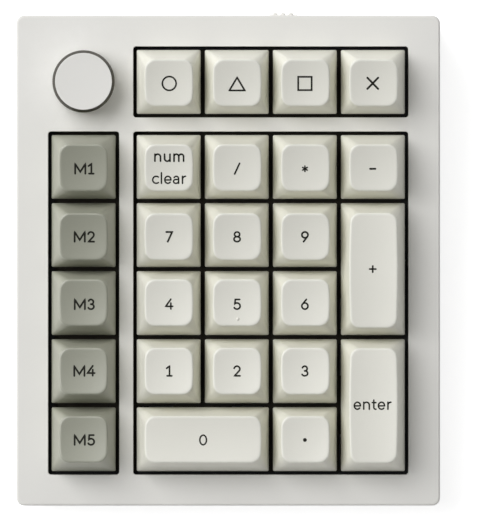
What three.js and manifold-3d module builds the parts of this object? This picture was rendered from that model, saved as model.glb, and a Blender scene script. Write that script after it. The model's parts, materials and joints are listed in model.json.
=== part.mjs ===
// A wireless numeric keypad with mechanical switches: a wedge-shaped two-part aluminium case,
// a gasket-mounted switch plate, 26 sprung keys, a push-and-turn knob and a mode slider at the back.
//
// The part's frame: +X to the right, +Y to the back, +Z up, the desk at z = 0 under the feet.
// The deck's frame is turned by the typing angle: its z = 0 is the upper face of the switch plate.
import * as THREE from "three";
import { mergeVertices } from "three/addons/utils/BufferGeometryUtils.js";
import Module from "manifold-3d";

const wasm = await Module();
wasm.setup();

// ---- driving dimensions, in millimetres ------------------------------------------------------

const UNIT = 19.05; // pitch from one key to the next
const BLOCK_GAP = 0.25; // units between the blocks of keys
const TYPING_ANGLE = THREE.MathUtils.degToRad(5.2);
const GAP = 0.3; // between pieces that touch on the real keypad

const CASE = { halfX: 59.3, halfY: 68.6, corner: 2.2, top: 7, seam: -4, chamfer: 0.5 };
const FRONT_HEIGHT = 22; // from the desk to the deck's front edge
const FOOT = { radius: 6, height: 2.7, shows: 2, x: 46, y: 54.5, sides: 20 };
const UNDER_CHAMFER = 1.6; // round the edge of the underside

const WINDOW_MARGIN = 0.4; // from the outermost key's unit square to the window's edge
const WINDOW_CORNER = 0.6;
const DECK_UNDERSIDE = 2; // the top case is 5 mm thick over the keys
const TOP_CAVITY = { halfX: 53.8, halfY: 63.2, corner: 1.5 };
const TRAY = { halfX: 49.6, halfY: 59.6, floor: -9.8, rim: -3.5 };
const SPIGOT = { halfX: 53.4, halfY: 62.8 }; // the tray's raised rim, which locates the top case

const PLATE = { halfX: 51, halfY: 61, thick: 1.5 };
const GASKET = { halfX: 52.6, halfY: 62.6, lip: 48.5, lipY: 59.2, top: 1.7, bottom: -3.2 };
const BOARD = { halfX: 49.2, halfY: 59.2, top: -5.3, thick: 1.6 };
const BATTERY = { halfX: 40, front: 22, back: 54, top: -10.4, bottom: -16 };
const FOAM = { halfX: 48.6, front: -58.6, back: 55.6, top: -8.9, thick: 0.6 };

const SWITCH = {
  hole: 14, // square hole in the plate
  body: 13.8, // lower housing
  flange: 15.6, // the collar that rests on the plate
  flangeTop: 1.3,
  crown: 10.6, // upper housing's square top
  top: 6.6,
  bottom: -5,
};
const WELL = { x: 7.6, y: 6.4, floor: -4 }; // the slider's guide in the housing
const SLIDER = { x: 6.8, y: 5.4, bottom: 0.4, top: 6.5 };
const KEY_TRAVEL = 4;

const CAP = {
  base: 17.9, // square skirt of a one-unit key
  bottom: 6.4, // skirt's height over the plate
  crown: 12.9, // square top
  skirtCorner: 0.7,
  crownCorner: 2.8,
  wall: 1.5,
  dish: 0.7, // depth of the finger dish
  post: 2.8, // radius of the post that grips the slider
};
// Each row's height and tilt: the back rows lean towards the hand. The tall keys span two rows.
const PROFILES = {
  high: { height: 12.2, lean: 4, shift: -0.3 },
  home: { height: 11.4, lean: 1.5, shift: 0 },
  low: { height: 11.6, lean: -2, shift: 0 },
  tallUpper: { height: 11.9, lean: 1.6, shift: -0.4 },
  tallLower: { height: 11.6, lean: -0.8, shift: 0 },
};

const STABILISER = {
  spacing: 11.9, // from the key's centre to each stem
  housing: { x: 6.6, y: 13.2, bottom: -5, top: 3.4 },
  well: { x: 5, y: 7.2 },
  stem: { x: 4.4, y: 6.6, bottom: -1.1 },
  wire: 0.6, // radius
  axis: { y: 8.5, z: -2.4 }, // where the wire's long bar turns
  arm: 8.5,
  outer: 16.2, // from the key's centre to each arm
  hookEnd: 12.9,
  hookRest: 0.5, // the hook's height over the plate with the key up
};

const KNOB = {
  radius: 8.75,
  bottom: 7.9,
  top: 16.6,
  chamfer: 0.7,
  press: 0.5,
  bore: 3.2,
  depth: 6.4,
  sides: 48,
};
const ENCODER = {
  body: 12,
  bottom: -5,
  top: 1.6,
  bush: 3.5,
  bushTop: 7.2,
  bore: 3.25,
  boreFloor: -4.2,
  shaft: 3,
  shaftBottom: -2.2,
  shaftTop: 13.8,
  sides: 24,
};

const SCREW = { corner: [53.8, 62.9], side: [54.2, 0], boss: 4, shank: 1.5, head: 2.75, seat: -10 };
const SCREW_TOP = 3;
const BOSS_CLEAR = 0.4;

const PORT = { x: -12, halfX: 6.5, halfZ: 3.7, z: -9, skin: 64.1 }; // recess for the cable's plug
const SOCKET = { halfX: 4.5, halfZ: 1.65, length: 7.3, mouthX: 4.15, mouthZ: 1.28 };
const MODE = { x: 15.6, z: -9, slotX: 6.8, slotZ: 2.1, capX: 4.2, capZ: 1.75, travel: 2.3 };
const MODE_PROUD = 0.2; // how far the slider's cap stands out of the back wall
const RIB_PITCH = 2.2;
const REAR_POCKET = { left: -20.5, right: 24.5, front: 56, floor: -13.4 };

const COLOURS = {
  shellWhite: { color: 0xe1e0dc, roughness: 0.55, metalness: 0 },
  cream: { color: 0xdad9cc, roughness: 0.6, metalness: 0 },
  sage: { color: 0x94958a, roughness: 0.6, metalness: 0 },
  knobWhite: { color: 0xdfdedb, roughness: 0.4, metalness: 0 },
  blackPlastic: { color: 0x17171a, roughness: 0.6, metalness: 0 },
  board: { color: 0x10141a, roughness: 0.5, metalness: 0 },
  foam: { color: 0x2a2a2c, roughness: 0.95, metalness: 0 },
  battery: { color: 0x9aa0a6, roughness: 0.5, metalness: 0.3 },
  steel: { color: 0xb4b6b8, roughness: 0.3, metalness: 1 },
  blackSteel: { color: 0x2b2b2e, roughness: 0.4, metalness: 1 },
  rubber: { color: 0x1c1c1d, roughness: 0.9, metalness: 0 },
};
const MATERIALS = {};
for (const [name, look] of Object.entries(COLOURS)) {
  MATERIALS[name] = new THREE.MeshStandardMaterial(look);
}

// ---- solids ------------------------------------------------------------------------------------

// A closed three.js geometry as a solid that can be joined and cut.
function solid(geometry) {
  const bare = geometry.clone();
  bare.deleteAttribute("normal");
  bare.deleteAttribute("uv");
  const merged = mergeVertices(bare, 1e-4);
  return new wasm.Manifold(
    new wasm.Mesh({
      numProp: 3,
      vertProperties: merged.attributes.position.array,
      triVerts: new Uint32Array(merged.index.array),
    }),
  );
}

// A solid back as a geometry that a mesh can show.
function geometryOf(body) {
  const made = body.getMesh();
  const places = new Float32Array(made.numVert * 3);
  for (let i = 0; i < made.numVert; i++) {
    const from = i * made.numProp;
    places.set(made.vertProperties.subarray(from, from + 3), i * 3);
  }
  const geometry = new THREE.BufferGeometry();
  geometry.setAttribute("position", new THREE.BufferAttribute(places, 3));
  geometry.setIndex(new THREE.BufferAttribute(new Uint32Array(made.triVerts), 1));
  geometry.computeVertexNormals();
  return geometry;
}

const join = (first, ...others) => others.reduce((all, one) => all.add(one), first);
const cut = (first, ...others) => others.reduce((left, one) => left.subtract(one), first);

// A box between two corners.
function box([x0, y0, z0], [x1, y1, z1]) {
  const geometry = new THREE.BoxGeometry(x1 - x0, y1 - y0, z1 - z0);
  return solid(geometry.translate((x0 + x1) / 2, (y0 + y1) / 2, (z0 + z1) / 2));
}

// A box centred on an upright axis.
function block(sizeX, sizeY, z0, z1, x = 0, y = 0) {
  return box([x - sizeX / 2, y - sizeY / 2, z0], [x + sizeX / 2, y + sizeY / 2, z1]);
}

// An upright cylinder.
function post(radius, z0, z1, x = 0, y = 0, sides = 16) {
  const geometry = new THREE.CylinderGeometry(radius, radius, z1 - z0, sides);
  return solid(geometry.rotateX(Math.PI / 2).translate(x, y, (z0 + z1) / 2));
}

// A cylinder that lies along X.
function rod(radius, x0, x1, y, z, sides = 8) {
  const geometry = new THREE.CylinderGeometry(radius, radius, x1 - x0, sides);
  return solid(geometry.rotateZ(Math.PI / 2).translate((x0 + x1) / 2, y, z));
}

function roundedOutline(halfX, halfY, radius) {
  const [x, y] = [halfX - radius, halfY - radius];
  const outline = new THREE.Shape();
  outline.absarc(x, -y, radius, -Math.PI / 2, 0);
  outline.absarc(x, y, radius, 0, Math.PI / 2);
  outline.absarc(-x, y, radius, Math.PI / 2, Math.PI);
  outline.absarc(-x, -y, radius, Math.PI, 1.5 * Math.PI);
  return outline;
}

// An upright block with rounded corners, chamfered at both ends.
function roundedBlock(halfX, halfY, radius, z0, z1, chamfer = 0, curveSegments = 5) {
  const geometry = new THREE.ExtrudeGeometry(roundedOutline(halfX, halfY, radius), {
    depth: z1 - z0 - 2 * chamfer,
    curveSegments,
    bevelEnabled: chamfer > 0,
    bevelThickness: chamfer,
    bevelSize: chamfer,
    bevelOffset: -chamfer,
    bevelSegments: 1,
  });
  return solid(geometry.translate(0, 0, z0 + chamfer));
}

// A block with rounded ends whose outline lies in X and Z, from y0 to y1.
function wallSlot(halfX, halfZ, radius, y0, y1, x, z) {
  const outline = roundedOutline(halfX, halfZ, radius);
  const depth = y1 - y0;
  const geometry = new THREE.ExtrudeGeometry(outline, {
    depth,
    curveSegments: 4,
    bevelEnabled: false,
  });
  return solid(geometry.rotateX(Math.PI / 2).translate(x, y1, z));
}

// A closed skin through a row of rounded rectangles. Each ring is {x, y, r, z}: half sizes, corner
// radius and height; lean tips it about X and shift moves it along Y. Both ends close at a point.
function skin(rings, first, last, cornerSteps = 2) {
  const places = [];
  const faces = [];
  for (const { x, y, r, z, lean = 0, shift = 0 } of rings) {
    for (let corner = 0; corner < 4; corner++) {
      const [sideX, sideY] = [
        [1, -1],
        [1, 1],
        [-1, 1],
        [-1, -1],
      ][corner];
      for (let step = 0; step <= cornerSteps; step++) {
        const turn = (corner - 1 + step / Math.max(cornerSteps, 1)) * (Math.PI / 2);
        const px = sideX * (x - r) + r * Math.cos(turn);
        const py = sideY * (y - r) + r * Math.sin(turn);
        places.push(px, py + shift, z + py * Math.tan(lean));
      }
    }
  }
  const around = 4 * (cornerSteps + 1);
  for (let ring = 0; ring + 1 < rings.length; ring++) {
    for (let i = 0; i < around; i++) {
      const [a, b] = [ring * around + i, ring * around + ((i + 1) % around)];
      faces.push(a, b, b + around, a, b + around, a + around);
    }
  }
  const start = places.length / 3;
  places.push(0, first.shift ?? 0, first.z, 0, last.shift ?? 0, last.z);
  const lastRing = (rings.length - 1) * around;
  for (let i = 0; i < around; i++) {
    const next = (i + 1) % around;
    faces.push(start, next, i);
    faces.push(start + 1, lastRing + i, lastRing + next);
  }
  const geometry = new THREE.BufferGeometry();
  geometry.setAttribute("position", new THREE.Float32BufferAttribute(places, 3));
  geometry.setIndex(faces);
  return solid(geometry);
}

// ---- the keys' places ----------------------------------------------------------------------------

// Column and row centres in units, from the macro column and the function row.
const COLUMNS = [0, 1, 2, 3, 4].map((column) => column + (column > 0 ? BLOCK_GAP : 0));
const ROWS = [0, 1, 2, 3, 4, 5].map((row) => row + (row > 0 ? BLOCK_GAP : 0));
const PROFILE_OF_ROW = ["high", "high", "high", "home", "low", "low"];
const TALL_PROFILE_OF_ROW = { 2: "tallUpper", 4: "tallLower" };
const CENTRE_COLUMN = COLUMNS[4] / 2;
const CENTRE_ROW = ROWS[5] / 2;
const deckX = (column) => (column - CENTRE_COLUMN) * UNIT;
const deckY = (row) => (CENTRE_ROW - row) * UNIT;

const KEYS = [];
function addKey(name, column, row, colour, wide = 1, tall = 1) {
  const x = deckX(COLUMNS[column] + (wide - 1) / 2);
  const y = deckY(ROWS[row] + (tall - 1) / 2);
  const profile = PROFILES[tall > 1 ? TALL_PROFILE_OF_ROW[row] : PROFILE_OF_ROW[row]];
  KEYS.push({ name, x, y, wide, tall, colour, profile });
}
["circle", "triangle", "square", "cross"].forEach((name, i) => addKey(name, i + 1, 0, "cream"));
["m1", "m2", "m3", "m4", "m5"].forEach((name, i) => addKey(name, 0, i + 1, "sage"));
["num_clear", "divide", "multiply", "minus"].forEach((name, i) => addKey(name, i + 1, 1, "cream"));
[7, 4, 1].forEach((digit, row) => {
  for (let i = 0; i < 3; i++) addKey(String(digit + i), i + 1, row + 2, "cream");
});
addKey("plus", 4, 2, "cream", 1, 2);
addKey("enter", 4, 4, "cream", 1, 2);
addKey("0", 1, 5, "cream", 2, 1);
addKey("point", 3, 5, "cream");
const LONG_KEYS = KEYS.filter((key) => key.wide * key.tall > 1);
const alongY = (key) => key.tall > key.wide;

// The places of the six case screws.
const SCREW_PLACES = [];
for (const sideX of [-1, 1]) {
  for (const sideY of [-1, 1]) {
    SCREW_PLACES.push([sideX * SCREW.corner[0], sideY * SCREW.corner[1]]);
  }
  SCREW_PLACES.push([sideX * SCREW.side[0], SCREW.side[1]]);
}
const bossSpace = (z0, z1) =>
  join(...SCREW_PLACES.map(([x, y]) => post(SCREW.boss + BOSS_CLEAR, z0, z1, x, y, 12)));

const KNOB_PLACE = [deckX(COLUMNS[0]), deckY(ROWS[0])];

// ---- how the deck stands over the desk -------------------------------------------------------------

const [SIN, COS] = [Math.sin(TYPING_ANGLE), Math.cos(TYPING_ANGLE)];
const DECK_HEIGHT = FRONT_HEIGHT + CASE.halfY * SIN - CASE.top * COS;
// The underside's height in the deck's frame, at a distance y from the deck's centre.
const underside = (y) => (FOOT.shows - DECK_HEIGHT - y * SIN) / COS;
// Moves a geometry from the part's frame, with the deck's centre over the origin, into the deck's.
function intoDeck(geometry) {
  return geometry.translate(0, 0, -DECK_HEIGHT).rotateX(-TYPING_ANGLE);
}

// ---- the case ------------------------------------------------------------------------------------------

// The three windows that the keys stand in, from z0 to z1.
function windows(z0, z1) {
  const frame = (left, right, back, front) => {
    const halfX = ((right - left + 1) * UNIT) / 2 + WINDOW_MARGIN;
    const halfY = ((front - back + 1) * UNIT) / 2 + WINDOW_MARGIN;
    const hole = roundedBlock(halfX, halfY, WINDOW_CORNER, z0, z1, 0, 2);
    return hole.translate([deckX((left + right) / 2), deckY((back + front) / 2), 0]);
  };
  return join(
    frame(COLUMNS[1], COLUMNS[4], ROWS[0], ROWS[0]),
    frame(COLUMNS[0], COLUMNS[0], ROWS[1], ROWS[5]),
    frame(COLUMNS[1], COLUMNS[4], ROWS[1], ROWS[5]),
  );
}

function topCase() {
  const { halfX, halfY, corner, top, seam, chamfer } = CASE;
  const outer = roundedBlock(halfX, halfY, corner, seam, top, chamfer);
  const { halfX: hollowX, halfY: hollowY, corner: hollowCorner } = TOP_CAVITY;
  const hollow = roundedBlock(hollowX, hollowY, hollowCorner, seam - 1, DECK_UNDERSIDE);
  const shell = cut(outer, hollow, windows(0, top + 1));
  const bosses = SCREW_PLACES.map(([x, y]) => post(SCREW.boss, seam, DECK_UNDERSIDE + 0.5, x, y, 12));
  const threads = SCREW_PLACES.map(([x, y]) =>
    post(SCREW.shank + GAP, seam - 1, SCREW_TOP + GAP, x, y, 8),
  );
  const shaftHole = post(ENCODER.bush + GAP, 0, top + 1, ...KNOB_PLACE, ENCODER.sides);
  return cut(join(shell, ...bosses), ...threads, shaftHole);
}

// The wedge: walls square to the deck, and an underside that lies level with a chamfer round it.
function wedge() {
  const { halfX, halfY, corner, seam } = CASE;
  const level = { lean: -TYPING_ANGLE };
  const bottom = underside(0);
  const top = seam - GAP;
  const inner = { x: halfX - UNDER_CHAMFER, y: halfY - UNDER_CHAMFER, r: corner };
  const eased = { x: halfX - 0.3, y: halfY - 0.3, r: corner };
  const full = { x: halfX, y: halfY, r: corner };
  return skin(
    [
      { ...inner, ...level, z: bottom },
      { ...full, ...level, z: bottom + UNDER_CHAMFER },
      { ...full, z: top - 0.3 },
      { ...eased, z: top },
    ],
    { z: bottom },
    { z: top },
    5,
  );
}

function footSpaces() {
  const spaces = [];
  for (const x of [-FOOT.x, FOOT.x]) {
    for (const y of [-FOOT.y, FOOT.y]) {
      const space = new THREE.CylinderGeometry(FOOT.radius + GAP, FOOT.radius + GAP, 2, FOOT.sides);
      space.rotateX(Math.PI / 2).translate(x, y, FOOT.height + GAP - 1);
      spaces.push(solid(intoDeck(space)));
    }
  }
  return spaces;
}

function bottomCase() {
  const { rim, floor, halfX: trayX, halfY: trayY } = TRAY;
  const seam = CASE.seam - GAP;
  const spigot = roundedBlock(SPIGOT.halfX, SPIGOT.halfY, 1.2, seam - 1, rim);
  const body = join(wedge(), cut(spigot, bossSpace(seam, rim + 1)));
  const tray = block(2 * trayX, 2 * trayY, floor, rim + 1);
  const cell = block(
    2 * BATTERY.halfX + 2,
    BATTERY.back - BATTERY.front + 2,
    BATTERY.bottom - GAP,
    floor + 1,
    0,
    (BATTERY.front + BATTERY.back) / 2,
  );
  const pocket = box(
    [REAR_POCKET.left, REAR_POCKET.front, REAR_POCKET.floor],
    [REAR_POCKET.right, PORT.skin, rim + 1],
  );
  const outside = CASE.halfY + 2;
  const port = wallSlot(PORT.halfX, PORT.halfZ, 3.4, PORT.skin - 1, outside, PORT.x, PORT.z);
  const slot = wallSlot(MODE.slotX, MODE.slotZ, 0.8, PORT.skin - 1, outside, MODE.x, MODE.z);
  const screws = SCREW_PLACES.flatMap(([x, y]) => [
    post(SCREW.shank + GAP, SCREW.seat - 1, 0, x, y, 8),
    post(SCREW.head + GAP, underside(y) - 8, SCREW.seat, x, y, 12),
  ]);
  return cut(body, tray, cell, pocket, port, slot, ...screws, ...footSpaces());
}

// ---- the plate, its gasket and the layers below ----------------------------------------------------

// The openings that a long key's two stabilisers need, from z0 to z1.
function stabiliserSpaces(z0, z1) {
  const { spacing, outer, axis, housing } = STABILISER;
  const inner = spacing - housing.x / 2 - 0.4;
  const [front, back] = [-housing.y / 2 - 0.4, axis.y + 0.9];
  const right = box([inner, front, z0], [outer + 1.1, back, z1]);
  const pair = join(right, right.mirror([1, 0, 0]));
  return LONG_KEYS.map((key) =>
    pair.rotate([0, 0, alongY(key) ? 90 : 0]).translate([key.x, key.y, 0]),
  );
}

function switchPlate() {
  const { halfX, halfY, thick } = PLATE;
  const sheet = block(2 * halfX, 2 * halfY, -thick, 0);
  const holes = KEYS.map(({ x, y }) => block(SWITCH.hole, SWITCH.hole, -thick - 1, 1, x, y));
  const encoderHole = block(ENCODER.body + 1.4, ENCODER.body + 1.4, -thick - 1, 1, ...KNOB_PLACE);
  return cut(
    sheet,
    ...holes,
    encoderHole,
    bossSpace(-thick - 1, 1),
    ...stabiliserSpaces(-thick - 1, 1),
  );
}

function plateGasket() {
  const { halfX, halfY, lip, lipY, top, bottom } = GASKET;
  const ring = cut(
    block(2 * halfX, 2 * halfY, bottom, top),
    block(2 * lip, 2 * lipY, bottom - 1, top + 1),
  );
  const groove = block(
    2 * (PLATE.halfX + GAP),
    2 * (PLATE.halfY + GAP),
    -PLATE.thick - GAP,
    GAP,
  );
  return cut(ring, groove, bossSpace(bottom - 1, top + 1));
}

function circuitBoard() {
  const { halfX, halfY, top, thick } = BOARD;
  const bottom = top - thick;
  const sheet = join(
    block(2 * halfX, 2 * halfY, bottom, top),
    box([REAR_POCKET.left + 1, halfY - 1, bottom], [REAR_POCKET.right - 1, PORT.skin - 0.4, top]),
  );
  // A socket under each switch takes its two pins.
  const sockets = KEYS.map(({ x, y }) =>
    box([x - 6.2, y + 2.1, bottom - 1.8], [x + 4.6, y + 6.2, bottom + 0.2]),
  );
  return join(sheet, ...sockets);
}

function caseFoam() {
  const { halfX, front, back, top, thick } = FOAM;
  return box([-halfX, front, top - thick], [halfX, back, top]);
}

function batteryPack() {
  const { halfX, front, back, top, bottom } = BATTERY;
  const pack = roundedBlock(halfX, (back - front) / 2, 2.5, bottom, top, 1, 3);
  return pack.translate([0, (front + back) / 2, 0]);
}

// ---- switches --------------------------------------------------------------------------------------------

function switchHousing() {
  const { body, flange, flangeTop, crown, top, bottom } = SWITCH;
  const lower = block(body, body, bottom, GAP);
  const collar = block(flange, flange, GAP, flangeTop);
  const upper = skin(
    [
      { x: body / 2, y: body / 2, r: 0, z: flangeTop - 0.2 },
      { x: crown / 2, y: crown / 2, r: 0, z: top },
    ],
    { z: flangeTop - 0.2 },
    { z: top },
    0,
  );
  const guide = block(WELL.x, WELL.y, WELL.floor, top + 1);
  return cut(join(lower, collar, upper), guide);
}

// All the housings stand on one thin film that covers the board, which makes them one piece.
function switchBank() {
  const filmTop = SWITCH.bottom + 0.4;
  const film = block(2 * BOARD.halfX - 1, 2 * BOARD.halfY - 1, SWITCH.bottom, filmTop);
  const encoderHole = block(ENCODER.body + 1, ENCODER.body + 1, -9, 9, ...KNOB_PLACE);
  const sheet = cut(film, encoderHole, ...stabiliserSpaces(-9, 9));
  const housing = switchHousing();
  return join(sheet, ...KEYS.map(({ x, y }) => housing.translate([x, y, 0])));
}

// ---- stabilisers of the long keys ----------------------------------------------------------------------

const HOOK_SLOT = { front: -0.8, back: 1.4 }; // where the wire's hook moves along Y

// A stabiliser's housing, for the right-hand stem of a key that lies along X.
function stabiliserHousing() {
  const { housing, well, hookRest, wire } = STABILISER;
  const body = block(housing.x, housing.y, housing.bottom, housing.top);
  const guide = block(well.x, well.y, housing.bottom - 1, housing.top + 1);
  const slot = box(
    [0, HOOK_SLOT.front, housing.bottom - 1],
    [housing.x, HOOK_SLOT.back, hookRest + wire + GAP],
  );
  return cut(body, guide, slot);
}

// The wire lies along X with its long bar on the axis that it turns about, and its arms forward.
function stabiliserWire() {
  const { wire, arm, outer, hookEnd } = STABILISER;
  const parts = [rod(wire, -outer - wire, outer + wire, 0, 0)];
  for (const side of [-1, 1]) {
    const lever = new THREE.CylinderGeometry(wire, wire, arm + wire, 8);
    parts.push(solid(lever.translate(side * outer, (wire - arm) / 2 - wire / 2, 0)));
    const [x0, x1] = side > 0 ? [hookEnd, outer + wire] : [-outer - wire, -hookEnd];
    parts.push(rod(wire, x0, x1, -arm, 0));
  }
  return join(...parts);
}

// ---- keys ----------------------------------------------------------------------------------------------------

// A keycap with the slider that it is pressed onto, centred on its switch.
function keyBody({ wide, tall, profile, ...key }) {
  const { base, bottom, crown, skirtCorner, crownCorner, wall, dish } = CAP;
  const [growX, growY] = [((wide - 1) * UNIT) / 2, ((tall - 1) * UNIT) / 2];
  const top = bottom + profile.height;
  const lean = THREE.MathUtils.degToRad(profile.lean);
  const { shift } = profile;
  const ring = (half, r, z, more = {}) => ({ x: half + growX, y: half + growY, r, z, ...more });
  const crownHalf = crown / 2;
  const cap = skin(
    [
      ring(crownHalf - wall, 1.4, top - 2.6, { shift }),
      ring(base / 2 - wall, 0.4, bottom),
      ring(base / 2, skirtCorner, bottom),
      ring(crownHalf, crownCorner, top, { lean, shift }),
      ring(crownHalf * 0.62, crownCorner * 0.7, top - dish * 0.7, { lean, shift }),
    ],
    { z: top - 2.6, shift },
    { z: top - dish, shift },
  );
  const stems = [join(
    post(CAP.post, SLIDER.top - 0.5, top - 2, 0, 0, 8),
    block(SLIDER.x, SLIDER.y, SLIDER.bottom, SLIDER.top),
  )];
  if (growX + growY > 0) {
    const { spacing, stem, wire, hookRest, hookEnd } = STABILISER;
    const hookSpace = box(
      [hookEnd - spacing - GAP, HOOK_SLOT.front, hookRest - wire - 0.2],
      [stem.x, HOOK_SLOT.back, hookRest + wire + 0.2],
    );
    const sideStem = cut(
      join(
        block(stem.x, stem.y, stem.bottom, SLIDER.top),
        post(2.15, SLIDER.top - 0.5, top - 2, 0, 0, 8),
      ),
      hookSpace,
    );
    const turn = alongY({ wide, tall, ...key }) ? 90 : 0;
    stems.push(sideStem.translate([spacing, 0, 0]).rotate([0, 0, turn]));
    stems.push(sideStem.mirror([1, 0, 0]).translate([-spacing, 0, 0]).rotate([0, 0, turn]));
  }
  return join(cap, ...stems);
}

// ---- the knob and its encoder --------------------------------------------------------------------------------

function knobBody() {
  const { radius, bottom, top, chamfer, bore, depth, sides } = KNOB;
  const profile = [
    [0, bottom],
    [radius - 0.3, bottom],
    [radius, bottom + 0.3],
    [radius, top - chamfer],
    [radius - chamfer, top],
    [0, top],
  ].map(([r, z]) => new THREE.Vector2(r, z));
  const turned = solid(new THREE.LatheGeometry(profile, sides).rotateX(Math.PI / 2));
  return cut(turned, post(bore, bottom - 1, bottom + depth, 0, 0, ENCODER.sides));
}

function encoderBody() {
  const { body, bottom, top, bush, bushTop, bore, boreFloor, sides } = ENCODER;
  const housing = join(block(body, body, bottom, top), post(bush, top - 1, bushTop, 0, 0, sides));
  return cut(housing, post(bore, boreFloor, bushTop + 1, 0, 0, sides));
}

function encoderShaft() {
  const { shaft, shaftBottom, shaftTop, sides } = ENCODER;
  const rodSolid = post(shaft, shaftBottom, shaftTop, 0, 0, sides);
  const flat = box([shaft - 1.5, -shaft, bushFlatStart()], [shaft + 1, shaft, shaftTop + 1]);
  return cut(rodSolid, flat);
}

// The shaft's flat begins above the bush.
function bushFlatStart() {
  return ENCODER.bushTop + 1;
}

// The pin under the shaft that closes the push contact.
function encoderPlunger() {
  const { shaftBottom } = ENCODER;
  return post(2, shaftBottom - GAP - 0.9, shaftBottom - GAP);
}

// ---- connectors on the back edge -----------------------------------------------------------------------------

function usbSocket() {
  const { halfX, halfZ, length, mouthX, mouthZ } = SOCKET;
  const back = PORT.skin - 0.2;
  const shell = wallSlot(halfX, halfZ, 1.6, back - length, back, PORT.x, PORT.z);
  const mouth = wallSlot(mouthX, mouthZ, 1.2, back - 6, back + 1, PORT.x, PORT.z);
  const tongue = box(
    [PORT.x - 3.3, back - 6.5, PORT.z - 0.35],
    [PORT.x + 3.3, back - 0.8, PORT.z + 0.35],
  );
  return join(cut(shell, mouth), tongue);
}

const TONGUE = { halfX: 1, halfZ: 1, reach: 1.6 };

function modeSwitchBody() {
  const back = PORT.skin - 0.4;
  const shell = box([MODE.x - 5, back - 4.4, MODE.z - 1.7], [MODE.x + 5, back, MODE.z + 1.7]);
  const run = TONGUE.halfX + MODE.travel + GAP;
  const groove = box(
    [MODE.x - run, back - TONGUE.reach - GAP, MODE.z - TONGUE.halfZ - 0.2],
    [MODE.x + run, back + 1, MODE.z + TONGUE.halfZ + 0.2],
  );
  return cut(shell, groove);
}

// A ribbed cap in the back wall's slot, with a tongue that drives the switch.
function modeSwitchSlider() {
  const { capX, capZ, x, z } = MODE;
  const face = CASE.halfY + MODE_PROUD;
  const cap = box([x - capX, PORT.skin + GAP, z - capZ], [x + capX, face, z + capZ]);
  const tongue = box(
    [x - TONGUE.halfX, PORT.skin - 0.4 - TONGUE.reach, z - TONGUE.halfZ],
    [x + TONGUE.halfX, PORT.skin + 1, z + TONGUE.halfZ],
  );
  const ribs = [-1, 0, 1].map((step) => {
    const rib = new THREE.CylinderGeometry(0.55, 0.55, 2 * capZ - 0.6, 8);
    return solid(rib.rotateX(Math.PI / 2).translate(x + step * RIB_PITCH, face, z));
  });
  return join(cap, tongue, ...ribs);
}

// ---- fasteners and feet ------------------------------------------------------------------------------------------

function caseScrew() {
  const { shank, head, seat } = SCREW;
  const top = seat - GAP;
  const headSolid = post(head, top - 3, top, 0, 0, 12);
  const socket = post(1.45, top - 4, top - 1.3, 0, 0, 6);
  return cut(join(headSolid, post(shank, top - 0.5, SCREW_TOP, 0, 0, 8)), socket);
}

function foot() {
  const { radius, height, sides } = FOOT;
  const profile = [
    [0, 0],
    [radius - 0.6, 0],
    [radius, 0.6],
    [radius, height],
    [0, height],
  ].map(([r, z]) => new THREE.Vector2(r, z));
  return solid(new THREE.LatheGeometry(profile, sides).rotateX(Math.PI / 2));
}

// ---- the assembly ---------------------------------------------------------------------------------------------------

const keypad = new THREE.Group();
const stand = new THREE.Group(); // moves the whole so that the origin is under its middle
const deck = new THREE.Group();
deck.rotation.x = TYPING_ANGLE;
deck.position.z = DECK_HEIGHT;
stand.add(deck);
keypad.add(stand);

function add(group, name, body, material, x = 0, y = 0, z = 0) {
  const mesh = new THREE.Mesh(geometryOf(body), MATERIALS[material]);
  mesh.name = name;
  mesh.position.set(x, y, z);
  group.add(mesh);
  return mesh;
}

add(deck, "top_case", topCase(), "shellWhite");
add(deck, "bottom_case", bottomCase(), "shellWhite");
add(deck, "switch_plate", switchPlate(), "blackSteel");
add(deck, "plate_gasket", plateGasket(), "rubber");
add(deck, "switch_bank", switchBank(), "blackPlastic");
add(deck, "circuit_board", circuitBoard(), "board");
add(deck, "case_foam", caseFoam(), "foam");
add(deck, "battery_pack", batteryPack(), "battery");

for (const key of KEYS) {
  add(deck, "key_" + key.name, keyBody(key), key.colour, key.x, key.y);
}

const REST_TILT = Math.asin((STABILISER.hookRest - STABILISER.axis.z) / STABILISER.arm);
for (const key of LONG_KEYS) {
  const pair = new THREE.Group();
  pair.position.set(key.x, key.y, 0);
  pair.rotation.z = alongY(key) ? Math.PI / 2 : 0;
  const housing = stabiliserHousing();
  const mirrored = housing.mirror([1, 0, 0]);
  const name = "stabiliser_" + key.name;
  add(pair, name + "_right", housing, "blackPlastic", STABILISER.spacing);
  add(pair, name + "_left", mirrored, "blackPlastic", -STABILISER.spacing);
  const { y, z } = STABILISER.axis;
  const wire = add(pair, name + "_wire", stabiliserWire(), "steel", 0, y, z);
  wire.rotation.x = -REST_TILT;
  deck.add(pair);
}

add(deck, "knob", knobBody(), "knobWhite", ...KNOB_PLACE);
add(deck, "encoder_body", encoderBody(), "blackPlastic", ...KNOB_PLACE);
add(deck, "encoder_shaft", encoderShaft(), "steel", ...KNOB_PLACE);
add(deck, "encoder_plunger", encoderPlunger(), "blackPlastic", ...KNOB_PLACE);

add(deck, "usb_socket", usbSocket(), "steel");
add(deck, "mode_switch_body", modeSwitchBody(), "steel");
add(deck, "mode_switch_slider", modeSwitchSlider(), "shellWhite");

SCREW_PLACES.forEach(([x, y], i) => {
  add(deck, "case_screw_" + (i + 1), caseScrew(), "blackSteel", x, y);
});

const FOOT_NAMES = { "-1-1": "front_left", "-11": "back_left", "1-1": "front_right", 11: "back_right" };
for (const sideX of [-1, 1]) {
  for (const sideY of [-1, 1]) {
    const name = "foot_" + FOOT_NAMES[`${sideX}${sideY}`];
    add(stand, name, foot(), "rubber", sideX * FOOT.x, sideY * FOOT.y);
  }
}

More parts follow.
